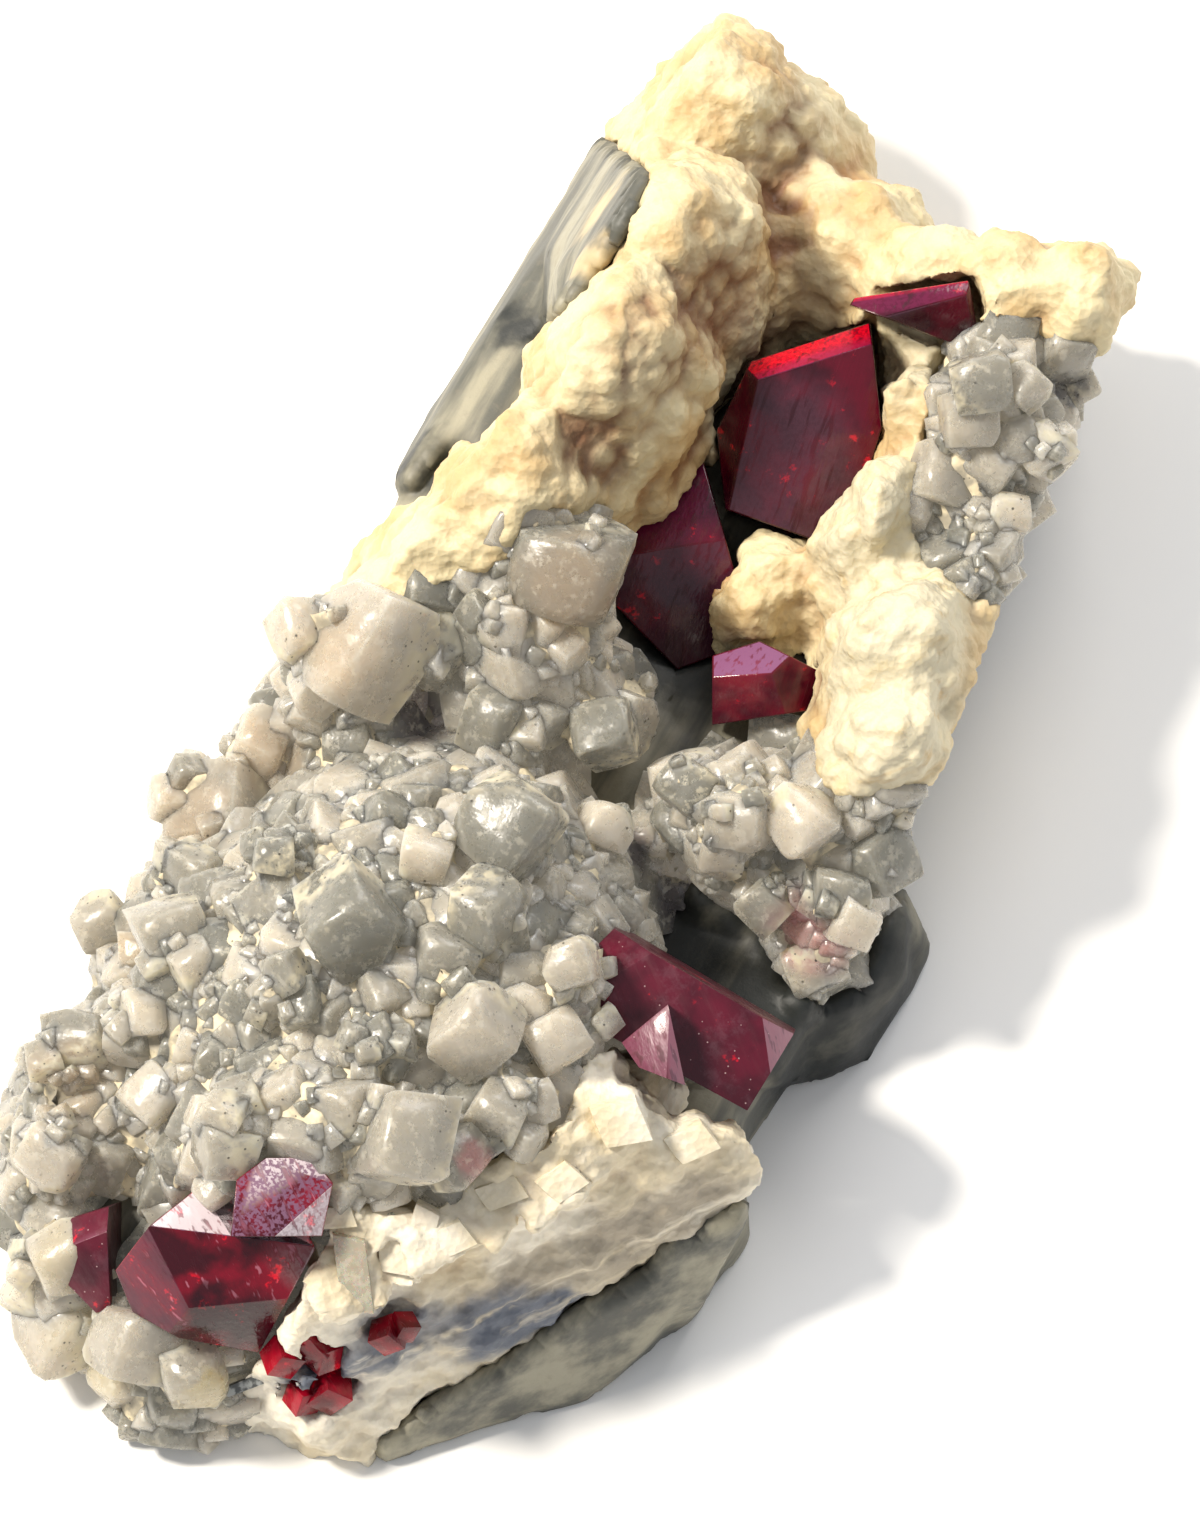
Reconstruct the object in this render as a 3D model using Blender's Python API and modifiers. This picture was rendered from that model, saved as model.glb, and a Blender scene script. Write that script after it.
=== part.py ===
"""Cinnabar crystals on dolomite and quartz, a cabinet specimen lying on its broken back.

The stone is one lumpy mass, cut along the borders between its minerals: dark host rock
below, cream dolomite as a horseshoe ridge and a ledge, and grey quartz crusts. Red
cinnabar crystals sit in sockets in all of them.

Shapes are worked out in millimetres and scaled to metres at the end. Places are
measured square to the side that shows best, as (across, up) from its middle, and a
height above the base gives the third value.
"""

import math
import random
from functools import partial

import bmesh
import bpy
from mathutils import Matrix, Vector, noise
from mathutils.bvhtree import BVHTree

METRE = 0.001

# Gap left between pieces that touch.
GAP = 0.3

# The side that shows best: how far it is turned from the stone's -Y end, how far it is
# tipped up, and its middle over the base.
SHOW_TURN = math.radians(28)
SHOW_TILT = math.radians(66)
SHOW_MIDDLE = Vector((-2.2, 5.4, 0))

# How finely the stone's outside and the host rock below the crusts are modelled.
SKIN_VOXEL = 0.6
SKIN_TRIANGLES = 2200
CORE_VOXEL = 1.2
CORE_TRIANGLES = 320
CORE_WIDTH_SHARE = 0.97
CORE_LENGTH_SHARE = 0.92
CORE_GAP = 0.9
CRUST_THICKNESS = 4.0

# Size and depth of the bumps on the stone.
BUMP_SIZE = 3.4
BUMP_DEPTH = 0.55

# Longer than the stone, for cutters that go right through it.
REACH = 60.0

# The tilt of a quartz crystal's end faces, and how its axis leans.
END_TILT = math.radians(50)
LEAN_TO_VIEWER = 0.45
LEAN_AT_RANDOM = 0.35
LOWEST_QUARTZ = 1.5
SCATTER_TRIES = 4000
QUARTZ_SEED = 5

# The block that every crystal is sliced from.
CRYSTAL_BLOCK = 24.0

ACROSS = Vector((math.cos(SHOW_TURN), math.sin(SHOW_TURN), 0))
TOWARD = Vector(
    (
        math.sin(SHOW_TURN) * math.cos(SHOW_TILT),
        -math.cos(SHOW_TURN) * math.cos(SHOW_TILT),
        math.sin(SHOW_TILT),
    )
)
UPWARD = TOWARD.cross(ACROSS)

# Lumps of the stone: name, place of the top (across, up, height), radii and turn.
LUMPS = [
    ("ridge head", (4.4, 27.8, 14.0), (5.2, 4.8, 10.0), 0),
    ("ridge head west", (2.2, 24.4, 13.0), (4.2, 5.0, 10.0), 0),
    ("ridge head east", (7.4, 25.8, 10.5), (3.6, 4.2, 7.0), 0),
    ("ridge upper", (2.6, 21.8, 17.5), (4.4, 6.0, 12.0), 0),
    ("ridge middle", (0.6, 17.4, 19.0), (4.2, 6.0, 13.0), 0),
    ("ridge lower", (-3.2, 12.6, 17.5), (4.0, 5.0, 11.0), 12),
    ("ridge foot", (-7.4, 9.0, 14.5), (4.2, 3.6, 9.0), -30),
    ("ridge toe", (-10.6, 7.2, 12.0), (3.0, 3.2, 8.0), 0),
    ("saddle", (10.0, 21.6, 11.0), (4.5, 4.0, 8.0), 0),
    ("shoulder west", (13.0, 20.0, 13.5), (3.2, 3.4, 9.0), 0),
    ("shoulder", (16.4, 19.4, 14.5), (3.6, 3.6, 9.0), 0),
    ("shoulder east", (19.4, 19.4, 14.5), (2.8, 3.6, 9.0), 0),
    ("knob above the red prism", (12.4, 14.8, 13.0), (2.0, 2.6, 8.0), 0),
    ("east slope", (15.6, 13.6, 13.8), (3.6, 5.0, 9.0), 0),
    ("east slope low", (15.6, 8.8, 12.6), (3.4, 4.4, 9.0), 0),
    ("crest north", (11.0, 10.6, 14.2), (2.2, 3.4, 8.0), 0),
    ("crest", (12.2, 5.4, 15.6), (4.0, 4.6, 10.0), 0),
    ("crest south", (11.6, 1.6, 14.8), (3.4, 3.8, 9.0), 0),
    ("crest toe", (10.4, -0.8, 12.8), (2.8, 2.4, 8.0), 0),
    ("block in the hollow", (6.4, 7.4, 9.5), (2.4, 3.2, 5.0), 0),
    ("pocket", (5.4, -1.4, 10.8), (4.4, 3.6, 8.0), 0),
    ("pocket east", (9.4, -4.4, 9.8), (3.6, 3.0, 7.0), 0),
    ("pocket toe", (9.0, -8.0, 7.0), (2.6, 2.6, 6.0), 0),
    ("mound", (-8.2, -7.0, 16.4), (10.4, 13.0, 13.0), 0),
    ("mound head", (-3.0, 6.0, 13.8), (5.0, 4.6, 10.0), 0),
    ("mound shoulder", (-10.4, 3.4, 11.2), (4.2, 4.2, 9.0), 0),
    ("mound west", (-15.8, -3.6, 8.4), (4.4, 6.0, 7.5), 0),
    ("mound south west", (-19.6, -12.8, 8.4), (4.6, 6.4, 7.5), 0),
    ("mound brow", (-11.0, -13.6, 16.6), (7.0, 4.8, 12.0), 30),
    ("mound east", (-1.6, -9.0, 15.0), (5.0, 6.0, 11.0), 0),
    ("mound corner", (-3.6, -13.6, 15.4), (4.6, 3.6, 10.0), 30),
    ("ledge", (-4.6, -18.4, 12.6), (8.4, 3.8, 10.0), 47),
    ("ledge west", (-10.0, -20.8, 11.6), (3.4, 3.6, 9.0), 47),
    ("ledge boss", (0.8, -14.0, 13.8), (2.6, 2.6, 7.0), 0),
    ("ledge east", (4.2, -15.6, 11.6), (3.0, 3.2, 9.0), 0),
    ("seat of the great crystal", (-14.8, -20.4, 8.2), (4.4, 4.0, 7.0), 20),
    ("foot", (-16.8, -22.8, 6.0), (3.6, 3.2, 6.0), 0),
    ("foot west", (-20.6, -20.2, 6.4), (2.1, 2.5, 6.0), 0),
]

# Lumps below the east flank's break, which it doesn't trim.
LOW_LUMPS = [
    ("east lump", (9.8, -7.8, 5.0), (2.3, 4.2, 5.0), -8),
    ("east lump south", (7.8, -9.6, 4.0), (2.0, 2.4, 4.0), 0),
]

# The stone's outline on its base, and how far the sides lean.
BASE = [
    (-13.6, 31.0), (-6.0, 31.2), (-1.6, 27.4), (3.6, 27.0), (7.2, 28.6), (9.0, 20.0),
    (10.2, 9.0), (12.2, 2.6), (12.0, -3.0), (11.4, -8.0), (13.2, -11.4), (12.4, -15.0),
    (10.0, -18.8), (7.4, -22.4), (4.2, -25.2), (1.0, -27.2), (-1.8, -29.2), (-6.2, -29.0),
    (-10.0, -27.4), (-12.0, -23.4), (-13.0, -18.6), (-13.4, -12.0), (-12.6, -6.4),
    (-12.6, 0.4), (-13.2, 6.0), (-14.8, 11.6), (-14.8, 19.0), (-14.6, 26.0),
]
BASE_HEIGHT = 4.6
BASE_TOP_SHARE = 0.96

# Flat breaks that trim the stone: a point on the break and its outward direction.
EAST_BREAK = ("east flank", (11.3, 17.0, 12.5), (0.955, 0.13, -0.26))
BREAKS = [
    ("west flank", (-14.1, 15.0, 3.4), (-0.93, 0.02, 0.36)),
    ("ledge front", (5.0, -25.6, 1.0), (0.70, -0.62, 0.36)),
    ("foot", (-4.0, -30.2, 1.0), (-0.20, -0.93, 0.30)),
]

# Borders between the minerals on the showing side, as (across, up).
FLANK_BORDER = [
    (-0.4, 25.6), (2.0, 23.0), (1.0, 20.7), (-0.8, 18.2), (-2.6, 16.5), (-3.2, 14.3),
    (-4.7, 12.2), (-6.2, 12.3), (-7.4, 10.7), (-9.0, 10.2),
]
RIDGE_FOOT = [
    (-14.0, 6.2), (-11.8, 5.9), (-10.2, 6.1), (-8.0, 5.8), (-6.8, 6.4), (-5.2, 6.9),
    (-3.4, 7.6), (-2.8, 9.4), (0.0, 9.7), (0.9, 7.6), (0.6, 4.4), (2.2, 3.0),
]
POCKET_TOP = [
    (4.0, 2.3), (7.6, 1.5), (8.3, 0.2), (8.8, -1.7), (10.0, -2.1), (12.2, -1.7), (15.6, -1.2),
]
POCKET_SIDE = [(2.4, -0.4), (2.7, -2.8), (3.6, -5.2)]
POCKET_FOOT = [
    (5.6, -6.6), (6.6, -7.6), (7.0, -9.4), (8.8, -10.2), (10.4, -9.4), (11.2, -7.2),
    (11.9, -5.2), (15.6, -4.6),
]
GULLY_SIDE = [(3.4, -7.2), (2.4, -10.0), (0.8, -11.4)]
LEDGE_END = [(3.2, -13.2), (6.0, -13.4), (10.0, -13.0)]
LEDGE_BACK = [
    (-0.8, -12.4), (-1.4, -14.4), (-2.4, -15.6), (-3.8, -16.0), (-5.2, -17.0), (-6.4, -17.8),
    (-8.0, -18.2), (-10.6, -18.2),
]
LEDGE_WEST = [
    (-11.0, -19.8), (-12.0, -22.0), (-13.2, -23.8), (-14.6, -25.0), (-14.2, -26.8), (-14.6, -32.0),
]
LEDGE_FOOT = [
    (10.0, -17.0), (6.1, -17.7), (4.4, -18.7), (2.4, -19.8), (1.9, -20.7), (-1.0, -22.3),
    (-4.0, -24.4), (-6.8, -26.0), (-8.8, -27.6), (-9.8, -32.0),
]
MOUND_FOOT = [(-13.6, -18.6), (-18.8, -18.2), (-21.0, -18.1), (-27.0, -17.8)]
SLOPE_BORDER = [
    (25.0, 14.0), (19.8, 15.1), (18.4, 16.2), (16.0, 17.1), (14.2, 16.8), (13.4, 15.6),
    (13.6, 14.0), (13.0, 12.4), (12.6, 9.6), (13.0, 7.6), (14.4, 6.5), (16.2, 5.9), (21.0, 5.2),
]

# Larger quartz crystals: place (across, up), half width and how far they stand out.
MOUND_QUARTZ = [
    (-1.3, 6.8, 2.1, 1.5), (-10.4, 3.9, 2.2, 1.5), (-13.6, 0.2, 1.3, 0.9), (-15.5, -2.2, 1.6, 1.1),
    (-16.5, -5.2, 1.2, 0.9), (-3.9, -4.0, 1.7, 1.3), (-6.5, -4.2, 1.0, 0.8), (1.1, 1.7, 1.4, 1.0),
    (-0.4, 0.9, 1.4, 0.9), (0.0, -3.2, 1.0, 0.8), (-9.9, -7.4, 1.5, 0.7), (-4.2, -7.0, 1.3, 1.0),
    (-5.0, -11.8, 1.4, 1.0), (-2.0, -11.2, 1.1, 0.8), (-1.0, -9.2, 1.0, 0.8), (-8.4, -15.2, 1.7, 1.1),
    (-5.2, -16.2, 1.2, 0.8), (-19.4, -7.4, 1.1, 0.9), (-21.2, -12.6, 1.5, 0.9), (-21.6, -15.6, 1.5, 0.8),
    (-18.0, -11.0, 1.3, 0.9), (-6.4, 3.8, 1.3, 0.8), (-14.4, -14.8, 1.4, 0.9), (-12.4, -4.4, 1.3, 0.8),
]
POCKET_QUARTZ = [(5.4, -2.8, 1.4, 1.0), (8.4, -3.0, 1.4, 1.0), (3.6, -1.4, 1.1, 0.8), (7.2, 0.0, 1.2, 0.8)]
SLOPE_QUARTZ = [(16.0, 14.6, 1.7, 0.9), (14.6, 13.0, 1.2, 0.7), (17.6, 12.2, 1.1, 0.7)]
FOOT_QUARTZ = [(-18.2, -23.2, 1.4, 0.6), (-21.2, -20.2, 1.5, 0.6), (-16.6, -25.0, 1.3, 0.5)]

# For each quartz crust: its larger crystals, how many more, and their half width.
QUARTZ = {
    "mound": (MOUND_QUARTZ, 14, 1.4),
    "pocket": (POCKET_QUARTZ, 4, 1.0),
    "slope": (SLOPE_QUARTZ, 4, 1.1),
    "foot": (FOOT_QUARTZ, 2, 1.0),
}

# Cinnabar crystals: middle (across, up, height), then each face as its outward direction
# (across, up, toward the viewer) and its distance from the middle.
CINNABAR = {
    "cinnabar_great": [
        (
            (-15.0, -20.5, 9.6),
            [
                ((0.10, -0.32, 0.94), 1.05), ((0.19, 0.55, 0.81), 2.0), ((-0.44, -0.51, 0.74), 1.9),
                ((0.12, -0.80, 0.59), 1.55), ((0.88, -0.48, 0.0), 2.92), ((0.0, 1.0, 0.0), 3.2),
                ((-0.62, 0.78, 0.0), 3.05), ((-0.79, 0.61, 0.0), 3.25), ((-0.93, -0.37, 0.0), 3.95),
                ((-0.49, -0.87, 0.0), 3.3), ((-0.19, -0.98, 0.0), 3.1), ((0.91, 0.41, 0.0), 3.7),
                ((0.0, 0.0, -1.0), 3.4),
            ],
        ),
        (
            (-12.4, -17.7, 13.9),
            [
                ((0.10, 0.25, 0.96), 0.9), ((0.50, -0.25, 0.83), 1.3), ((0.0, 1.0, 0.0), 1.6),
                ((0.75, 0.66, 0.0), 1.8), ((0.97, -0.20, 0.0), 1.7), ((0.0, -1.0, 0.0), 1.5),
                ((-1.0, 0.10, 0.0), 2.0), ((-0.60, 0.80, 0.0), 1.75), ((0.0, 0.0, -1.0), 3.8),
            ],
        ),
    ],
    "cinnabar_west": [
        (
            (-20.4, -20.3, 6.8),
            [
                ((-0.55, 0.50, 0.67), 1.3), ((-0.30, -0.40, 0.87), 0.8), ((-0.78, 0.60, 0.0), 1.5),
                ((-0.30, 0.95, 0.0), 1.8), ((-0.71, -0.70, 0.0), 1.2), ((0.30, -0.95, 0.0), 2.1),
                ((1.0, 0.0, 0.1), 1.0), ((0.0, 0.0, -1.0), 3.2),
            ],
        ),
    ],
    "cinnabar_twin": [
        (
            (3.6, -10.7, 11.0),
            [
                ((0.05, -0.10, 0.99), 2.0), ((0.80, 0.05, 0.60), 3.4), ((0.51, 0.86, 0.05), 1.6),
                ((-0.48, -0.88, 0.0), 2.1), ((0.85, -0.52, 0.0), 3.8), ((-1.0, 0.0, 0.0), 4.0),
                ((-0.71, 0.71, 0.0), 4.7), ((-0.35, 0.57, 0.74), 3.8), ((0.0, 0.0, -1.0), 3.4),
            ],
        ),
        (
            (2.2, -11.6, 13.0),
            [
                ((-0.45, 0.20, 0.87), 0.75), ((0.75, 0.10, 0.65), 1.1), ((-0.64, 0.77, 0.0), 0.85),
                ((-0.82, -0.57, 0.0), 1.1), ((-0.36, -0.93, 0.0), 1.15), ((0.98, 0.21, 0.0), 0.8),
                ((0.0, 0.0, -1.0), 2.4),
            ],
        ),
    ],
    "cinnabar_hollow": [
        (
            (8.0, 13.0, 8.6),
            [
                ((0.10, -0.15, 0.98), 2.0), ((-0.20, 0.75, 0.63), 3.3), ((-0.80, 0.10, 0.60), 3.0),
                ((-0.31, 0.95, 0.0), 3.1), ((0.99, 0.11, 0.0), 3.3), ((0.96, -0.29, 0.0), 3.2),
                ((0.0, -1.0, 0.0), 4.6), ((-0.33, -0.94, 0.0), 4.1), ((-0.99, -0.11, 0.0), 3.3),
                ((-0.90, 0.44, 0.0), 2.9), ((0.0, 0.0, -1.0), 3.2),
            ],
        ),
    ],
    "cinnabar_shade": [
        (
            (2.8, 7.6, 6.6),
            [
                ((-0.10, 0.35, 0.93), 1.6), ((0.0, -0.30, 0.95), 1.3), ((-0.45, 0.89, 0.0), 3.4),
                ((0.96, 0.27, 0.0), 2.4), ((0.98, -0.18, 0.0), 3.1), ((0.35, -0.94, 0.0), 4.2),
                ((-0.72, -0.69, 0.0), 2.8), ((-1.0, 0.05, 0.0), 2.4), ((0.0, 0.0, -1.0), 3.0),
            ],
        ),
    ],
    "cinnabar_sill": [
        (
            (6.4, 2.7, 8.6),
            [
                ((-0.20, 0.60, 0.77), 1.2), ((-0.15, -0.50, 0.85), 0.95), ((0.60, -0.20, 0.77), 1.3),
                ((-0.30, 0.95, 0.0), 1.6), ((-1.0, 0.0, 0.0), 1.9), ((0.15, -0.98, 0.0), 1.4),
                ((0.45, 0.88, 0.0), 1.5), ((0.85, -0.5, 0.0), 2.5), ((0.0, 0.0, -1.0), 2.6),
            ],
        ),
    ],
    "cinnabar_shoulder": [
        (
            (12.5, 17.6, 12.4),
            [
                ((-0.10, 0.55, 0.83), 0.9), ((0.20, -0.55, 0.80), 0.8), ((0.90, -0.10, 0.40), 2.3),
                ((-0.15, 0.98, 0.0), 0.9), ((-0.80, 0.55, 0.0), 2.2), ((-0.35, -0.94, 0.0), 0.6),
                ((0.3, -0.95, 0.0), 1.8), ((1.0, 0.2, 0.0), 2.5), ((0.0, 0.0, -1.0), 1.8),
            ],
        ),
    ],
}

# Small cinnabar grains at the west end of the ledge: middle, radius and turn of each.
GRAINS = {
    "cinnabar_grain_upper": [
        ((-11.5, -23.4, 6.8), 0.75, 10), ((-12.6, -24.1, 6.4), 0.65, 50), ((-11.0, -24.0, 6.2), 0.6, 80),
    ],
    "cinnabar_grain_lower": [((-10.8, -25.4, 4.6), 0.75, 35), ((-11.8, -25.7, 4.4), 0.6, 70)],
    "cinnabar_grain_east": [((-8.4, -23.2, 7.4), 0.6, 20), ((-7.8, -22.9, 7.6), 0.5, 60)],
}

# Blocky dolomite crystals on the west end of the ledge: place, half width and turn.
RHOMBS = [
    (-9.8, -20.8, 1.3, 12), (-9.4, -19.1, 0.9, 40), (-7.9, -20.2, 0.95, -10),
    (-6.6, -19.0, 1.2, 25), (-4.6, -18.2, 1.1, 60), (-2.2, -17.2, 1.1, 35),
]

# A rhomb's two pairs of sides slant by this much, and its broad faces by less.
RHOMB_SLANT = 0.2

# Colour and roughness of each mineral.
FINISHES = {
    "host_rock": ((0.16, 0.15, 0.14), 0.75),
    "dolomite": ((0.75, 0.64, 0.45), 0.6),
    "quartz": ((0.55, 0.53, 0.48), 0.25),
    "cinnabar": ((0.32, 0.01, 0.03), 0.2),
}


def seen(across, up, height):
    """The point at a height that shows at (across, up) on the best side."""
    toward = (height - up * UPWARD.z) / TOWARD.z
    return SHOW_MIDDLE + ACROSS * across + UPWARD * up + TOWARD * toward


def facing(direction):
    """A direction given as (across, up, toward), in the stone's own axes."""
    across, up, toward = direction
    return (ACROSS * across + UPWARD * up + TOWARD * toward).normalized()


def clear_scene():
    for item in list(bpy.data.objects):
        bpy.data.objects.remove(item, do_unlink=True)


def new_collection(name):
    collection = bpy.data.collections.new(name)
    bpy.context.scene.collection.children.link(collection)
    return collection


def new_object(name, mesh_data, collection):
    """An object from a bmesh, which is freed."""
    mesh = bpy.data.meshes.new(name)
    mesh_data.to_mesh(mesh)
    mesh_data.free()
    item = bpy.data.objects.new(name, mesh)
    collection.objects.link(item)
    return item


def bake(item):
    """Applies an object's modifiers."""
    depsgraph = bpy.context.evaluated_depsgraph_get()
    mesh = bpy.data.meshes.new_from_object(item.evaluated_get(depsgraph))
    item.modifiers.clear()
    item.data = mesh


def combine(item, other, operation):
    """Cuts, joins or trims an object by another one, and bakes the result."""
    modifier = item.modifiers.new(operation.title(), "BOOLEAN")
    modifier.solver = "EXACT"
    modifier.operation = operation
    modifier.object = other
    bake(item)


def copy_of(item, name):
    duplicate = bpy.data.objects.new(name, item.data.copy())
    item.users_collection[0].objects.link(duplicate)
    return duplicate


def triangulate(item):
    mesh_data = bmesh.new()
    mesh_data.from_mesh(item.data)
    bmesh.ops.triangulate(mesh_data, faces=mesh_data.faces)
    mesh_data.to_mesh(item.data)
    mesh_data.free()


def islands(mesh_data):
    """The vertices of each separate body in a bmesh."""
    left = set(mesh_data.verts)
    while left:
        stack = [left.pop()]
        found = set(stack)
        while stack:
            vertex = stack.pop()
            for edge in vertex.link_edges:
                other = edge.other_vert(vertex)
                if other not in found:
                    found.add(other)
                    left.discard(other)
                    stack.append(other)
        yield found


def body_volume(vertices):
    """Volume of one closed body of a triangulated bmesh."""
    faces = {face for vertex in vertices for face in vertex.link_faces}
    total = 0.0
    for face in faces:
        a, b, c = (vertex.co for vertex in face.verts)
        total += a.dot(b.cross(c)) / 6
    return abs(total)


def keep_largest(item):
    """Removes the crumbs that a cut has left beside the largest body."""
    triangulate(item)
    mesh_data = bmesh.new()
    mesh_data.from_mesh(item.data)
    bodies = sorted(islands(mesh_data), key=body_volume)
    for crumb in bodies[:-1]:
        bmesh.ops.delete(mesh_data, geom=list(crumb), context="VERTS")
    mesh_data.to_mesh(item.data)
    mesh_data.free()


def decimate(item, triangles):
    """Thins a closed mesh to about so many triangles."""
    triangulate(item)
    modifier = item.modifiers.new("Decimate", "DECIMATE")
    modifier.ratio = min(1.0, triangles / len(item.data.polygons))
    bake(item)


def remesh(item, voxel):
    modifier = item.modifiers.new("Remesh", "REMESH")
    modifier.mode = "VOXEL"
    modifier.voxel_size = voxel
    bake(item)


def lump_mass(name, lumps, shrink, collection):
    """Overlapping lumps in one object, each drawn in by the same amount."""
    mesh_data = bmesh.new()
    for _, (across, up, height), radii, turn in lumps:
        centre = seen(across, up, height) - Vector((0, 0, radii[2]))
        sizes = [radius - shrink for radius in radii]
        if min(sizes) < 0.4:
            continue
        matrix = Matrix.Translation(centre) @ Matrix.Rotation(math.radians(turn), 4, "Z")
        matrix = matrix @ Matrix.Diagonal((*sizes, 1))
        bmesh.ops.create_icosphere(mesh_data, subdivisions=3, radius=1, matrix=matrix)
    return new_object(name, mesh_data, collection)


def base_slab(collection, width_share=1.0, length_share=1.0):
    """The bottom of the stone, leaning in a little towards its top."""
    mesh_data = bmesh.new()
    low = [mesh_data.verts.new((x * width_share, y * length_share, -1.0)) for x, y in BASE]
    face = mesh_data.faces.new(low)
    raised = bmesh.ops.extrude_face_region(mesh_data, geom=[face])
    top = [item for item in raised["geom"] if isinstance(item, bmesh.types.BMVert)]
    for vertex in top:
        vertex.co.x *= BASE_TOP_SHARE
        vertex.co.y *= BASE_TOP_SHARE
        vertex.co.z = BASE_HEIGHT
    bmesh.ops.recalc_face_normals(mesh_data, faces=mesh_data.faces)
    return new_object("slab", mesh_data, collection)


def join(item, others):
    """Puts the meshes of other objects into an object's own mesh."""
    mesh_data = bmesh.new()
    mesh_data.from_mesh(item.data)
    for other in others:
        mesh_data.from_mesh(other.data)
        bpy.data.objects.remove(other)
    mesh_data.to_mesh(item.data)
    mesh_data.free()


def roughen(item):
    """Moves the surface in and out, by smooth swells and by rounded cells."""
    mesh_data = bmesh.new()
    mesh_data.from_mesh(item.data)
    mesh_data.normal_update()
    for vertex in mesh_data.verts:
        place = vertex.co / BUMP_SIZE
        swell = noise.noise(place)
        cells = 0.5 - noise.voronoi(place * 1.3)[0][0]
        vertex.co += vertex.normal * BUMP_DEPTH * (0.6 * swell + 0.9 * cells)
    mesh_data.to_mesh(item.data)
    mesh_data.free()


def slab(point, outward, collection, name):
    """A large box whose near face is the plane through a point."""
    outward = Vector(outward).normalized()
    mesh_data = bmesh.new()
    turn = outward.to_track_quat("Z", "Y").to_matrix().to_4x4()
    matrix = Matrix.Translation(Vector(point) + outward * REACH) @ turn
    bmesh.ops.create_cube(mesh_data, size=2 * REACH, matrix=matrix)
    return new_object(name, mesh_data, collection)


def inset(outline, distance):
    """A closed outline drawn in by a distance at every side."""
    points = [Vector(point) for point in outline]
    following = points[1:] + points[:1]
    area = sum(a.x * b.y - b.x * a.y for a, b in zip(points, following))
    side = math.copysign(1, area)
    inward = [(b - a).normalized().orthogonal() * side for a, b in zip(points, following)]
    moved = []
    for i, point in enumerate(points):
        between = (inward[i - 1] + inward[i]).normalized()
        moved.append(point + between * distance / max(0.4, between.dot(inward[i])))
    return moved


def region(name, outline, collection):
    """A prism through the stone, along the line of sight, inside an outline."""
    mesh_data = bmesh.new()
    drawn = [SHOW_MIDDLE + ACROSS * p.x + UPWARD * p.y for p in inset(outline, GAP / 2)]
    near = [mesh_data.verts.new(point + TOWARD * REACH) for point in drawn]
    face = mesh_data.faces.new(near)
    moved = bmesh.ops.extrude_face_region(mesh_data, geom=[face])
    far = [item for item in moved["geom"] if isinstance(item, bmesh.types.BMVert)]
    bmesh.ops.translate(mesh_data, verts=far, vec=-TOWARD * 2 * REACH)
    bmesh.ops.recalc_face_normals(mesh_data, faces=mesh_data.faces)
    return new_object(name, mesh_data, collection)


def faceted(faces, middle, grow, mesh_data):
    """Adds a crystal to a bmesh: a block sliced flat at each face, moved out by grow."""
    block = bmesh.new()
    bmesh.ops.create_cube(block, size=CRYSTAL_BLOCK)
    for direction, distance in faces:
        outward = Vector(direction).normalized()
        cut = bmesh.ops.bisect_plane(
            block,
            geom=block.verts[:] + block.edges[:] + block.faces[:],
            plane_co=outward * (distance + grow),
            plane_no=outward,
            clear_outer=True,
        )
        rim = [item for item in cut["geom_cut"] if isinstance(item, bmesh.types.BMEdge)]
        if rim:
            bmesh.ops.contextual_create(block, geom=rim)
    bmesh.ops.recalc_face_normals(block, faces=block.faces)
    bmesh.ops.translate(block, verts=block.verts, vec=middle)
    bmesh.ops.triangulate(block, faces=block.faces)
    mesh = bpy.data.meshes.new("crystal")
    block.to_mesh(mesh)
    block.free()
    mesh_data.from_mesh(mesh)
    bpy.data.meshes.remove(mesh)


def quartz_faces(width, height, lean, draw):
    """A stubby quartz crystal: six sides and six sloping end faces round an axis."""
    turn = lean.to_track_quat("Z", "Y")
    spin = draw.uniform(0, math.pi)
    faces = [(-lean, width * 1.2)]
    for side in range(6):
        angle = spin + side * math.pi / 3
        flat = Vector((math.cos(angle), math.sin(angle), 0))
        faces.append((turn @ flat, width * draw.uniform(0.86, 1.0)))
        if side % 2:
            slope = flat * math.sin(END_TILT) + Vector((0, 0, math.cos(END_TILT)))
            reach = height * math.cos(END_TILT) + width * draw.uniform(0.50, 0.62)
            faces.append((turn @ slope, reach))
    return faces


def point_in(outline, across, up, margin):
    """Whether a spot lies inside an outline, at least a margin from its sides."""
    inside = False
    spot = Vector((across, up))
    count = len(outline)
    for i in range(count):
        a = Vector(outline[i])
        b = Vector(outline[(i + 1) % count])
        if (a.y > up) != (b.y > up):
            if across < a.x + (up - a.y) / (b.y - a.y) * (b.x - a.x):
                inside = not inside
        along = max(0.0, min(1.0, (spot - a).dot(b - a) / (b - a).length_squared))
        if (a + (b - a) * along - spot).length < margin:
            return False
    return inside


def scatter(outline, listed, extra, width, draw):
    """The listed spots and some more at random between them, inside an outline."""
    spots = list(listed)
    low = [min(point[axis] for point in outline) for axis in (0, 1)]
    high = [max(point[axis] for point in outline) for axis in (0, 1)]
    wanted = len(spots) + extra
    for _ in range(SCATTER_TRIES):
        if len(spots) == wanted:
            break
        half = width * draw.uniform(0.8, 1.25)
        across = draw.uniform(low[0], high[0])
        up = draw.uniform(low[1], high[1])
        crowded = any(math.hypot(across - s[0], up - s[1]) < 0.92 * (half + s[2]) for s in spots)
        if not crowded and point_in(outline, across, up, half * 1.15):
            spots.append((across, up, half, half * draw.uniform(0.3, 0.6)))
    return spots


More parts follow.
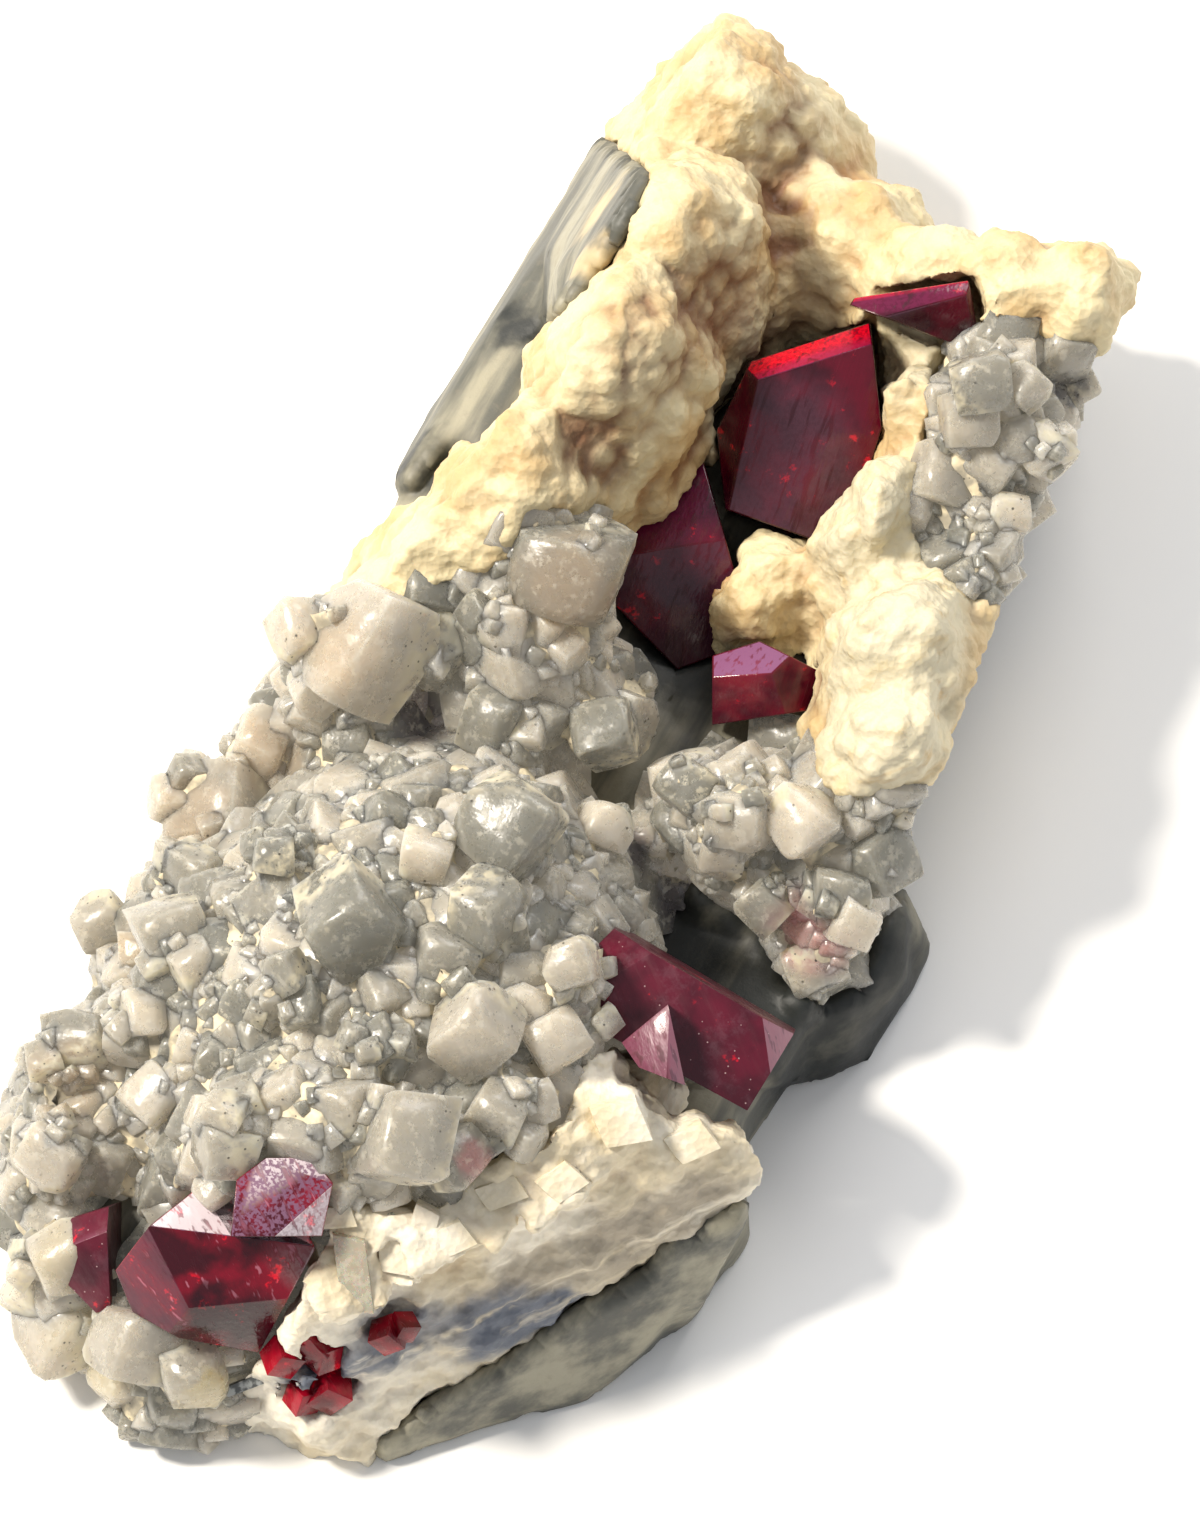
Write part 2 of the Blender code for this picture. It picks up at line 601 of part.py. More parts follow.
def touch_down(surface, across, up):
    """Where a line of sight meets a surface, and the surface's direction there."""
    origin = SHOW_MIDDLE + ACROSS * across + UPWARD * up + TOWARD * REACH
    place, normal, _, _ = surface.ray_cast(origin, -TOWARD)
    return place, normal


def surface_of(item):
    return BVHTree.FromObject(item, bpy.context.evaluated_depsgraph_get())


def no_crystals(_):
    return []


def quartz_on(crust, outline, druse):
    """Quartz crystals standing out of a crust's surface, inside its outline."""
    draw = random.Random(QUARTZ_SEED)
    surface = surface_of(crust)
    grown = []
    for across, up, half, rise in scatter(outline, *druse, draw):
        place, normal = touch_down(surface, across, up)
        if place is None or place.z < LOWEST_QUARTZ + half:
            continue
        stray = Vector([draw.uniform(-1, 1) for _ in range(3)]) * LEAN_AT_RANDOM
        lean = (normal + TOWARD * LEAN_TO_VIEWER + stray).normalized()
        crystal = bmesh.new()
        faceted(quartz_faces(half, rise, lean, draw), place, 0, crystal)
        grown.append(new_object("quartz", crystal, crust.users_collection[0]))
    return grown


def rhombs_on(ledge):
    """Blocky dolomite crystals half sunk in the ledge."""
    surface = surface_of(ledge)
    grown = []
    for across, up, half, turn in RHOMBS:
        place, _ = touch_down(surface, across, up)
        if place is None:
            continue
        crystal = bmesh.new()
        faceted(seen_faces(rhomb_faces(half, turn)), place, 0, crystal)
        grown.append(new_object("rhomb", crystal, ledge.users_collection[0]))
    return grown


def rhomb_faces(half, turn):
    """A squat block with slanting sides, one broad face towards the viewer."""
    angle = math.radians(turn)
    first = (math.cos(angle), math.sin(angle), RHOMB_SLANT)
    second = (-math.sin(angle), math.cos(angle), RHOMB_SLANT)
    faces = [((0.1, 0.1, 1.0), half * 0.7), ((-0.1, -0.1, -1.0), half)]
    for x, y, z in (first, second):
        faces.append(((x, y, z), half))
        faces.append(((-x, -y, -z), half))
    return faces


def fuse(crust, crystals):
    """Joins crystals to a crust in one pass."""
    bundle = new_collection("crystals to fuse")
    for crystal in crystals:
        bundle.objects.link(crystal)
    modifier = crust.modifiers.new("Fuse", "BOOLEAN")
    modifier.solver = "EXACT"
    modifier.operation = "UNION"
    modifier.operand_type = "COLLECTION"
    modifier.collection = bundle
    bake(crust)
    for crystal in crystals:
        bpy.data.objects.remove(crystal)
    bpy.data.collections.remove(bundle)


def seen_faces(faces):
    return [(facing(direction), distance) for direction, distance in faces]


def cinnabar(name, parts, grow, collection):
    """One cinnabar crystal or a few grown through each other."""
    pieces = []
    for (across, up, height), faces in parts:
        mesh_data = bmesh.new()
        faceted(seen_faces(faces), seen(across, up, height), grow, mesh_data)
        pieces.append(new_object(name, mesh_data, collection))
    for other in pieces[1:]:
        combine(pieces[0], other, "UNION")
        bpy.data.objects.remove(other)
    return pieces[0]


def grain_faces(radius, turn):
    """A blunt rhombohedron, seen corner on."""
    faces = []
    for side in range(3):
        angle = math.radians(turn + 120 * side)
        faces.append(((math.cos(angle), math.sin(angle), 0.75), radius * 0.85))
        faces.append(((-math.cos(angle), -math.sin(angle), -0.75), radius * 0.9))
    return faces


def material(name, colour, roughness):
    finish = bpy.data.materials.new(name)
    finish.use_nodes = True
    shader = finish.node_tree.nodes["Principled BSDF"]
    shader.inputs["Base Color"].default_value = (*colour, 1)
    shader.inputs["Roughness"].default_value = roughness
    shader.inputs["Metallic"].default_value = 0
    return finish


def regions():
    """The outline of each mineral's share of the showing side."""
    slope = SLOPE_BORDER
    upper = (
        FLANK_BORDER
        + RIDGE_FOOT
        + POCKET_TOP
        + [(21.0, -1.2)]
        + list(reversed(slope))
        + [(25.0, 34.0), (-0.4, 34.0)]
    )
    junction = [RIDGE_FOOT[-1]]
    pocket = junction + POCKET_TOP + list(reversed(POCKET_FOOT)) + list(reversed(POCKET_SIDE))
    mound = (
        RIDGE_FOOT
        + POCKET_SIDE
        + GULLY_SIDE
        + LEDGE_BACK
        + MOUND_FOOT
        + [(-27.0, 6.2)]
    )
    corner = [GULLY_SIDE[-1]]
    ledge = (
        corner
        + LEDGE_END
        + LEDGE_FOOT
        + list(reversed(LEDGE_WEST))
        + list(reversed(LEDGE_BACK))
    )
    foot = [LEDGE_BACK[-1]] + LEDGE_WEST + [(-27.0, -32.0)] + list(reversed(MOUND_FOOT))
    flank = FLANK_BORDER + [(-14.0, 10.2), (-14.0, 25.6)]
    gully = (
        [POCKET_SIDE[-1]]
        + POCKET_FOOT
        + [(15.6, -13.0)]
        + list(reversed(LEDGE_END))
        + list(reversed(GULLY_SIDE))
    )
    below = LEDGE_FOOT + [(10.0, -32.0)]
    return {
        "upper": upper,
        "slope": slope,
        "pocket": pocket,
        "mound": mound,
        "ledge": ledge,
        "foot": foot,
        "flank": flank,
        "gully": gully,
        "below": below,
    }


def smooth(item, rounds):
    modifier = item.modifiers.new("Smooth", "SMOOTH")
    modifier.iterations = rounds
    bake(item)


def trim(item, breaks, work):
    """Cuts flat breaks off an object."""
    for name, point, outward in breaks:
        combine(item, slab(point, outward, work, name), "DIFFERENCE")


def stone_mass(work):
    """The whole outside of the stone, with its flat breaks and its flat base."""
    mass = lump_mass("mass", LUMPS, 0.0, work)
    remesh(mass, SKIN_VOXEL)
    trim(mass, [EAST_BREAK], work)
    join(mass, [lump_mass("low", LOW_LUMPS, 0.0, work), base_slab(work)])
    remesh(mass, SKIN_VOXEL)
    smooth(mass, 2)
    roughen(mass)
    decimate(mass, SKIN_TRIANGLES)
    trim(mass, BREAKS + [("base", (0, 0, 0), (0, 0, -1))], work)
    keep_largest(mass)
    return mass


def core_mass(work):
    """The host rock below the crusts, before it is trimmed to the stone."""
    core = lump_mass("core", LUMPS, CRUST_THICKNESS, work)
    join(core, [base_slab(work, CORE_WIDTH_SHARE, CORE_LENGTH_SHARE)])
    remesh(core, CORE_VOXEL)
    smooth(core, 4)
    return core


def core_socket(core):
    """A copy of the core, moved out along its normals to leave a gap round it."""
    socket = copy_of(core, "core socket")
    modifier = socket.modifiers.new("Displace", "DISPLACE")
    modifier.strength = CORE_GAP
    modifier.mid_level = 0
    bake(socket)
    remesh(socket, CORE_VOXEL)
    decimate(socket, CORE_TRIANGLES)
    return socket


def host_rock(mass, core, outlines, work):
    """The host rock: the core, and the stretches where it shows at the surface."""
    host = copy_of(core, "host_rock")
    for key in ("flank", "gully", "below"):
        combine(host, region(key, outlines[key], work), "UNION")
    combine(host, mass, "INTERSECT")
    return host


def crust(key, mass, core_cut, outline, crystals_on, work):
    """One mineral's share of the stone's outside, with crystals fused to it."""
    piece = copy_of(mass, key)
    crystals = crystals_on(piece)
    if crystals:
        fuse(piece, crystals)
    combine(piece, region(key, outline, work), "INTERSECT")
    combine(piece, core_cut, "DIFFERENCE")
    keep_largest(piece)
    return piece


def rocks(work):
    """Every rock node, with its larger crystals fused to it."""
    outlines = regions()
    mass = stone_mass(work)
    core = core_mass(work)
    core_cut = core_socket(core)
    decimate(core, CORE_TRIANGLES)
    found = [host_rock(mass, core, outlines, work)]
    for key, crystals_on in (("upper", no_crystals), ("ledge", rhombs_on)):
        piece = crust(key, mass, core_cut, outlines[key], crystals_on, work)
        piece.name = "dolomite_" + key
        found.append(piece)
    for key, druse in QUARTZ.items():
        crystals_on = partial(quartz_on, outline=outlines[key], druse=druse)
        piece = crust(key, mass, core_cut, outlines[key], crystals_on, work)
        piece.name = "quartz_" + key
        found.append(piece)
    return found


def reds(stones, work):
    """Every cinnabar node, each in a socket that it leaves in the rock round it."""
    bodies = dict(CINNABAR)
    for name, grains in GRAINS.items():
        bodies[name] = [(middle, grain_faces(radius, turn)) for middle, radius, turn in grains]
    found = []
    for name, parts in bodies.items():
        socket = cinnabar(name + " socket", parts, GAP, work)
        for stone in stones:
            combine(stone, socket, "DIFFERENCE")
        found.append(cinnabar(name, parts, 0, work))
    return found


def bounds(nodes):
    """Lowest and highest corner of some objects, in their own units."""
    places = [vertex.co for node in nodes for vertex in node.data.vertices]
    low = Vector([min(place[axis] for place in places) for axis in range(3)])
    high = Vector([max(place[axis] for place in places) for axis in range(3)])
    return low, high


def build():
    clear_scene()
    parts = new_collection("cinnabar_on_dolomite")
    work = new_collection("cutters")
    stones = rocks(work)
    nodes = stones + reds(stones, work)
    for node in nodes:
        keep_largest(node)
    low, high = bounds(nodes)
    middle = Vector(((low.x + high.x) / 2, (low.y + high.y) / 2, low.z))
    place = Matrix.Diagonal((METRE, METRE, METRE, 1)) @ Matrix.Translation(-middle)
    finishes = {key: material(key, *look) for key, look in FINISHES.items()}
    for node in nodes:
        node.data.transform(place)
        key = next(word for word in finishes if node.name.startswith(word))
        node.data.materials.clear()
        node.data.materials.append(finishes[key])
        work.objects.unlink(node)
        parts.objects.link(node)
    for helper in list(work.objects):
        bpy.data.objects.remove(helper)


build()
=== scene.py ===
# %% [markdown]
# # Cinnabar on dolomite
# This notebook dresses a small mineral specimen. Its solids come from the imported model:
# a core of grey host rock, lumpy cream dolomite, crusts of grey quartz and deep red
# cinnabar crystals. Each solid already has the right place and the right large shape.
# What is still missing is everything finer than a millimetre or two, and every finish.

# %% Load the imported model
import math
import random

import bmesh
import bpy
import numpy as np
from mathutils import Matrix, Quaternion, Vector
from mathutils.bvhtree import BVHTree


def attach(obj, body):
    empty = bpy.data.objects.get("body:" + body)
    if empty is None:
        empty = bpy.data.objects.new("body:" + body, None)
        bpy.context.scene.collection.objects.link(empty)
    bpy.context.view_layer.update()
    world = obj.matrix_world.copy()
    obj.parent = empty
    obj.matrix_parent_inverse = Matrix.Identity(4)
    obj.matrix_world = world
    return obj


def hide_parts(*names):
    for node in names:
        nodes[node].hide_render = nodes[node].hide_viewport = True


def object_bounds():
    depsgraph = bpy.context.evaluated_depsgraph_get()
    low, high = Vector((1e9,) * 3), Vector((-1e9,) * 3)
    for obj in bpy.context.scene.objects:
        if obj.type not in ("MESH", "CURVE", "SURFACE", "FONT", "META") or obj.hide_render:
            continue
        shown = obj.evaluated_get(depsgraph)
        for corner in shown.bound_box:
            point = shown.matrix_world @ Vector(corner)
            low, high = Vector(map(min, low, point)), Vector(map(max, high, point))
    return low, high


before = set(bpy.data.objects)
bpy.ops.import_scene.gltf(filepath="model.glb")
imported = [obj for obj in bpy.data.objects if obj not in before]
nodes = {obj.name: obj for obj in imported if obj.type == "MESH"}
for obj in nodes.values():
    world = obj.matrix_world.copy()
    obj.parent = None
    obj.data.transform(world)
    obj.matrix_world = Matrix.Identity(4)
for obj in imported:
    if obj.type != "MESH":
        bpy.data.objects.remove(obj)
cad_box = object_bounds()
MM = 0.001
print("nodes:", len(nodes), "size in mm:", [round(v / MM, 1) for v in cad_box[1] - cad_box[0]])

# %% [markdown]
# ## Where the photo was taken from
# The stone lies on its flat back and the camera looks down at it from far away, so that
# the picture is almost parallel. Three directions describe it: across the picture, up the
# picture, and toward the viewer. A spot in the photo, counted in pixels, is then a line of
# sight, and a crystal seen there is set down where that line meets the stone.

# %% Directions of the photo
VIEW_TURN = math.radians(28)
VIEW_TILT = math.radians(66)
PHOTO_WIDTH, PHOTO_HEIGHT = 1200, 1540
PIXELS_PER_MM = 25

ACROSS = Vector((math.cos(VIEW_TURN), math.sin(VIEW_TURN), 0))
TOWARD = Vector((math.sin(VIEW_TURN) * math.cos(VIEW_TILT), -math.cos(VIEW_TURN) * math.cos(VIEW_TILT),
                 math.sin(VIEW_TILT)))
UPWARD = TOWARD.cross(ACROSS)

# The middle of the picture, at about half the stone's height.
AIM = Vector((1.387, -0.752, 9.0)) * MM
CAMERA_DISTANCE = 1.0


def add_camera():
    """A long lens, far away, with the photo's frame round the stone."""
    data = bpy.data.cameras.new("camera")
    data.sensor_width = 36
    data.lens = data.sensor_width * CAMERA_DISTANCE / (PHOTO_HEIGHT / PIXELS_PER_MM * MM)
    data.clip_start, data.clip_end = 0.05, 20
    item = bpy.data.objects.new("camera", data)
    bpy.context.scene.collection.objects.link(item)
    turn = Matrix((ACROSS, UPWARD, TOWARD)).transposed()
    item.matrix_world = Matrix.Translation(AIM + TOWARD * CAMERA_DISTANCE) @ turn.to_4x4()
    bpy.context.scene.camera = item
    return item


camera = add_camera()
print("lens in mm:", round(camera.data.lens))


def sight_line(pixel_x, pixel_y):
    """Start and direction of the line of sight through a pixel of the photo."""
    across = (pixel_x - PHOTO_WIDTH / 2) / PIXELS_PER_MM * MM
    up = (PHOTO_HEIGHT / 2 - pixel_y) / PIXELS_PER_MM * MM
    start = AIM + TOWARD * CAMERA_DISTANCE
    return start, (AIM + ACROSS * across + UPWARD * up - start).normalized()


def surface_of(prefix=""):
    """The faces of all nodes whose names start so, for finding hits and distances."""
    joined = bmesh.new()
    for name, node in nodes.items():
        if name.startswith(prefix):
            joined.from_mesh(node.data)
    tree = BVHTree.FromBMesh(joined)
    joined.free()
    return tree


stone_surface = surface_of()


def spot(pixel_x, pixel_y):
    """The place on the stone, in millimetres, that a pixel of the photo shows."""
    place = stone_surface.ray_cast(*sight_line(pixel_x, pixel_y))[0]
    return tuple(place / MM)


print("apex of the great crystal:", [round(v, 1) for v in spot(200, 1225)])

# %% [markdown]
# ## Writing shaders as sums
# A finish is a network of nodes. Drawn by hand such a network is soon a tangle, so here a
# small class wraps a socket and answers to the usual signs. `1 - mask` then reads as what it
# means, and the Math nodes appear by themselves. Every other node comes from one method.

# %% A socket that can be added, multiplied and compared
class Value:
    """A shader socket with the usual signs."""

    def __init__(self, finish, socket):
        self.finish = finish
        self.socket = socket

    def math(self, operation, *parts):
        return self.finish.node("ShaderNodeMath", {"operation": operation}, dict(enumerate(parts)))

    def __add__(self, other):
        return self.math("ADD", self, other)

    __radd__ = __add__

    def __sub__(self, other):
        return self.math("SUBTRACT", self, other)

    def __rsub__(self, other):
        return self.math("SUBTRACT", other, self)

    def __mul__(self, other):
        return self.math("MULTIPLY", self, other)

    __rmul__ = __mul__

    def between(self, low, high):
        """0 below low, 1 above high, and a smooth rise in between."""
        return self.finish.node(
            "ShaderNodeMapRange",
            {"interpolation_type": "SMOOTHSTEP"},
            {"Value": self, "From Min": low, "From Max": high},
        )


# %% [markdown]
# One finish is one material. Its shader is Blender's Principled one, which covers rough
# stone, glassy crystal and the metal-like flash of cinnabar with the same few sockets.

# %% A finish and its nodes
class Finish:
    """One material, with a way to add nodes and to feed its shader."""

    def __init__(self, name):
        self.material = bpy.data.materials.new(name)
        self.material.use_nodes = True
        self.tree = self.material.node_tree
        self.shader = self.tree.nodes["Principled BSDF"]

    def node(self, kind, settings=None, inputs=None, output=0):
        """Adds a node: settings first, then its sockets' values or links."""
        made = self.tree.nodes.new(kind)
        for key, value in (settings or {}).items():
            setattr(made, key, value)
        for key, value in (inputs or {}).items():
            self.feed(self.find(made.inputs, key), value)
        return Value(self, self.find(made.outputs, output))

    def find(self, sockets, key):
        if isinstance(key, int):
            return sockets[key]
        return next(s for s in sockets if key in (s.identifier, s.name) and s.enabled)

    def feed(self, socket, value):
        if isinstance(value, Value):
            self.tree.links.new(value.socket, socket)
        else:
            socket.default_value = value

    def vector(self, operation, inputs, output=0):
        """Sums on places and directions."""
        return self.node("ShaderNodeVectorMath", {"operation": operation}, inputs, output)

    def mix(self, share, first, second):
        """A colour between two others."""
        return self.node(
            "ShaderNodeMix",
            {"data_type": "RGBA"},
            {"Factor_Float": share, "A_Color": first, "B_Color": second},
            "Result_Color",
        )

    def set(self, **values):
        """Values or links for the shader's own sockets, named with underscores."""
        for key, value in values.items():
            self.feed(self.shader.inputs[key.replace("_", " ")], value)
        return self


def tone(red, green, blue):
    """A colour counted as screens do, 0 to 255, turned into light by the sRGB curve."""
    shares = [v / 255 for v in (red, green, blue)]
    return (*[v / 12.92 if v <= 0.04045 else ((v + 0.055) / 1.055) ** 2.4 for v in shares], 1)


print("a middle grey as light:", round(tone(128, 128, 128)[0], 3))

# %% [markdown]
# Patterns in stone run through the solid, so they are looked up by place in the stone
# rather than by a flattened skin. The helpers below give that place in millimetres, and
# the patterns used over and over: soft clouds, round cells, clouds combed into lines, and
# a mask that is 1 near spots chosen in the photo and fades out with distance.

# %% Patterns by place
def place_of(finish, stretch=(1, 1, 1)):
    """The place in the stone, in millimetres, stretched along its axes if asked."""
    coords = finish.node("ShaderNodeTexCoord", output="Object")
    scale = [1 / (MM * s) for s in stretch]
    return finish.vector("MULTIPLY", {0: coords, 1: scale})


def clouds(finish, place, size, detail=4, roughness=0.55):
    """Soft noise whose blots are about size millimetres across."""
    inputs = {"Vector": place, "Scale": 1 / size, "Detail": detail, "Roughness": roughness}
    return finish.node("ShaderNodeTexNoise", None, inputs, "Fac")


def cells(finish, place, size):
    """How far it is to the nearest of points about size millimetres apart."""
    return finish.node("ShaderNodeTexVoronoi", None, {"Vector": place, "Scale": 1 / size}, "Distance")


# A mark is whole within the first share of its radius and gone beyond the second.
MARK_CORE, MARK_RIM = 0.2, 1.1
# A lookup is drawn out until this share of its length along the lines is lost.
COMBED = 0.985


def near(finish, place, middle, radius):
    """1 at a spot given in millimetres, falling to 0 at the radius."""
    away = finish.vector("DISTANCE", {0: place, 1: middle}, "Value")
    return 1 - away.between(radius * MARK_CORE, radius * MARK_RIM)


def marks(finish, place, listed, reach=2.2):
    """1 at spots listed as pixels and a radius in millimetres, with ragged rims."""
    inputs = {"Vector": place, "Scale": 0.7, "Detail": 3}
    wander = finish.node("ShaderNodeTexNoise", None, inputs, "Color")
    moved = finish.vector("MULTIPLY_ADD", {0: wander, 1: (reach,) * 3, 2: place})
    total = 0
    for pixel_x, pixel_y, radius in listed:
        middle = [v + reach / 2 for v in spot(pixel_x, pixel_y)]
        total = near(finish, moved, middle, radius) + total
    return total.between(0, 1)


def combed(finish, place, across, up, toward):
    """Places drawn out along a direction, so that a pattern there becomes fine lines."""
    way = (ACROSS * across + UPWARD * up + TOWARD * toward).normalized()
    along = finish.vector("DOT_PRODUCT", {0: place, 1: way}, "Value")
    back = finish.vector("SCALE", {0: way, "Scale": along * -COMBED})
    return finish.vector("ADD", {0: place, 1: back})


def carried(finish, name):
    """A number that the mesh carries at each vertex."""
    return finish.node("ShaderNodeAttribute", {"attribute_name": name}, None, "Fac")


def bump(finish, height, depth, strength=1.0):
    """Small relief: height runs from 0 to 1, depth is in millimetres."""
    inputs = {"Height": height, "Distance": depth * MM, "Strength": strength}
    return finish.node("ShaderNodeBump", None, inputs, "Normal")


# %% [markdown]
# ## The stone's skin
# The solids are coarse. To carry a sugary or glassy crust, each gets a fine mesh: its
# shape is rebuilt on a grid of small cubes and then pushed in and out by procedural
# textures. Neighbouring crusts are also swollen a little, because in the real stone they
# meet without a gap. How deep a vertex lies in a hollow is measured and kept with the
# mesh, so a finish can paint stain and shade there.

# %% Helpers for fine meshes
# The imported model's vertices that are closer than this are one, in metres.
WELD = 1e-7


def link(item):
    bpy.context.scene.collection.objects.link(item)
    return item


def baked(item):
    """The object with its modifiers turned into mesh."""
    depsgraph = bpy.context.evaluated_depsgraph_get()
    mesh = bpy.data.meshes.new_from_object(item.evaluated_get(depsgraph))
    item.modifiers.clear()
    item.data = mesh
    return item


def fine_copy(node, name, voxel):
    """A node's shape again, on an even fine mesh."""
    item = link(bpy.data.objects.new(name, nodes[node].data.copy()))
    weld(item)
    modifier = item.modifiers.new("even", "REMESH")
    modifier.mode = "VOXEL"
    modifier.voxel_size = voxel * MM
    modifier.use_smooth_shade = True
    return without_crumbs(baked(item))


def without_crumbs(item):
    """Only the largest connected part, since the grid leaves loose crumbs at thin edges."""
    mesh_data = bmesh.new()
    mesh_data.from_mesh(item.data)
    waiting, parts = set(mesh_data.verts), []
    while waiting:
        reached = [waiting.pop()]
        for vertex in reached:
            for edge in vertex.link_edges:
                other = edge.other_vert(vertex)
                if other in waiting:
                    waiting.remove(other)
                    reached.append(other)
        parts.append(reached)
    parts.sort(key=len)
    crumbs = [vertex for part in parts[:-1] for vertex in part]
    bmesh.ops.delete(mesh_data, geom=crumbs, context="VERTS")
    mesh_data.to_mesh(item.data)
    mesh_data.free()
    return item


def weld(item):
    """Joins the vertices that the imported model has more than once."""
    mesh_data = bmesh.new()
    mesh_data.from_mesh(item.data)
    bmesh.ops.remove_doubles(mesh_data, verts=mesh_data.verts, dist=WELD)
    mesh_data.to_mesh(item.data)
    mesh_data.free()


# %% [markdown]
# Vertices are read and written as whole arrays, which is many times quicker than one by
# one. A hollow is found by comparing the mesh with a smoothed copy of itself: where the
# copy lies above the surface, a finish paints stain and shade.

# %% Measuring and moving vertices
def points_of(mesh):
    points = np.empty(len(mesh.vertices) * 3, np.float32)
    mesh.vertices.foreach_get("co", points)
    return points.reshape(-1, 3)


def normals_of(mesh):
    normals = np.empty(len(mesh.vertices) * 3, np.float32)
    mesh.vertices.foreach_get("normal", normals)
    return normals.reshape(-1, 3)


def averaged(points, ends, rounds):
    """Vertices moved to the middle of their neighbours, a number of times."""
    count = len(points)
    shared = np.bincount(ends.ravel(), minlength=count).clip(1)[:, None]
    for _ in range(rounds):
        total = np.empty_like(points)
        for axis in range(3):
            total[:, axis] = np.bincount(ends[:, 0], points[ends[:, 1], axis], count)
            total[:, axis] += np.bincount(ends[:, 1], points[ends[:, 0], axis], count)
        points = (points + total / shared) / 2
    return points


def edges_of(mesh):
    ends = np.empty(len(mesh.edges) * 2, np.int32)
    mesh.edges.foreach_get("vertices", ends)
    return ends.reshape(-1, 2)


def keep_number(mesh, name, values):
    """Stores one number a vertex with the mesh."""
    attribute = mesh.attributes.new(name, "FLOAT", "POINT")
    attribute.data.foreach_set("value", np.asarray(values, np.float32))


def measure_hollows(item, rounds, span):
    """Keeps how far each vertex lies below its surroundings, as 0 to 1."""
    mesh = item.data
    points = points_of(mesh)
    level = averaged(points, edges_of(mesh), rounds)
    below = ((level - points) * normals_of(mesh)).sum(1) / (span * MM)
    keep_number(mesh, "hollow", (0.5 + 0.5 * below).clip(0, 1))


def pushed(item, kind, size, depth, settings=None):
    """Moves the surface along its normals by a procedural texture."""
    texture = bpy.data.textures.new(item.name + " " + kind.lower(), kind)
    texture.noise_scale = size * MM
    for key, value in (settings or {}).items():
        setattr(texture, key, value)
    modifier = item.modifiers.new("push", "DISPLACE")
    modifier.texture = texture
    modifier.texture_coords = "LOCAL"
    modifier.strength = depth * MM
    modifier.mid_level = 0.5
    return baked(item)


def swollen(item, distance):
    """Moves the whole surface out."""
    mesh = item.data
    points = points_of(mesh) + normals_of(mesh) * distance * MM
    mesh.vertices.foreach_set("co", points.ravel())
    mesh.update()
    return item


# %% [markdown]
# Every finished piece is tied to the imported model: to the body it rides on, and to the
# solid it stands in for. It may pass the solids' box by a hair.

# %% Dressing a piece
SPARE = 0.25


def keep_inside(item):
    """Keeps a piece within the solids' own box, and flat where it rests."""
    low, high = (np.array(corner) for corner in cad_box)
    low = low - (SPARE * MM, SPARE * MM, 0)
    mesh = item.data
    mesh.vertices.foreach_set("co", points_of(mesh).clip(low, high + SPARE * MM).ravel())
    mesh.update()


def dress(item, finish, slot, *replaced):
    """Says what a piece rides on, stands for and takes its finish from."""
    keep_inside(item)
    item.data.materials.clear()
    item.data.materials.append(finish.material)
    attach(item, "root")
    if replaced:
        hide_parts(*replaced)
    print(item.name, len(item.data.polygons), "faces")
    return item


# %% [markdown]
# ## Dolomite
# Dolomite grows as small blunt rhombs packed into a sugary, knobbly mass. It is cream
# where light strikes it. Its hollows are painted amber, partly as iron stain and partly as
# painted shade. Cell patterns give the knobs: the distance to the nearest of many scattered
# points makes rounded lumps with creases between them, at three sizes.

# %% Dolomite: shape
DOLOMITE_VOXEL = 0.19
DOLOMITE_SWELL = 0.05
# The width of the knobs and how far they are pushed, in millimetres. Less than nothing
# pushes the rims of the cells in and leaves their middles standing.
LUMPS, KNOBS, SUGAR = (3.2, -0.8), (1.2, -0.45), (0.55, -0.2)


def sugary(node, name):
    """A dolomite node with lumps, knobs on them, and sugary grain on those."""
    item = fine_copy(node, name, DOLOMITE_VOXEL)
    swollen(item, DOLOMITE_SWELL)
    pushed(item, "VORONOI", *LUMPS)
    pushed(item, "VORONOI", *KNOBS)
    measure_hollows(item, rounds=40, span=0.4)
    pushed(item, "VORONOI", *SUGAR)
    return item


ridge = sugary("dolomite_upper", "dolomite_ridge")
ledge = sugary("dolomite_ledge", "dolomite_ledge_skin")
print("ridge:", len(ridge.data.vertices), "ledge:", len(ledge.data.vertices))

# %% [markdown]
# The real ridge is warm cream, the crest at the right paler, and the ledge nearly white
# with a blue-grey patch on its side. An amber colour follows the measured hollows: partly
# iron stain that lies where it would have settled, and partly painted shade, with the
# deepest hollows painted brown as shade. Brown painted shade also goes at listed spots,
# most where the ridge shades the hollow beside it. A little light passes into the grain,
# which a small subsurface share gives.

# %% Dolomite: finish
CREAM = tone(190, 162, 114)
PALE = tone(210, 195, 156)
AMBER = tone(150, 98, 46)
BROWN = tone(64, 42, 30)
# The brown of painted shade at listed spots.
SHADOW_BROWN = tone(106, 64, 34)

# Spots in the photo: across and down in pixels, then the radius in millimetres.
# Painted brown shade where the ridge shades the hollow and its own right flank.
RIDGE_SHADOWS = [
    (710, 300, 4.6), (770, 215, 3.4), (590, 460, 3.6), (650, 350, 4.4), (570, 550, 2.6),
    (690, 480, 4.4), (800, 690, 3.0), (800, 120, 2.6), (740, 380, 3.4),
]
LEDGE_BROWNS = [(420, 1215, 1.2)]
CREST_WASH = (
    [(885, 540, 6.5), (880, 640, 6.0), (870, 740, 5.0), (905, 370, 3.0)],
    tone(200, 190, 162),
)
BLUE_WASH = (
    [(400, 1350, 3.2), (490, 1325, 3.0), (320, 1385, 2.6), (560, 1310, 2.0)],
    tone(92, 98, 110),
)
STREAK_WASH = ([(620, 1240, 3.4), (520, 1290, 3.0), (700, 1200, 2.4)], tone(160, 149, 130))


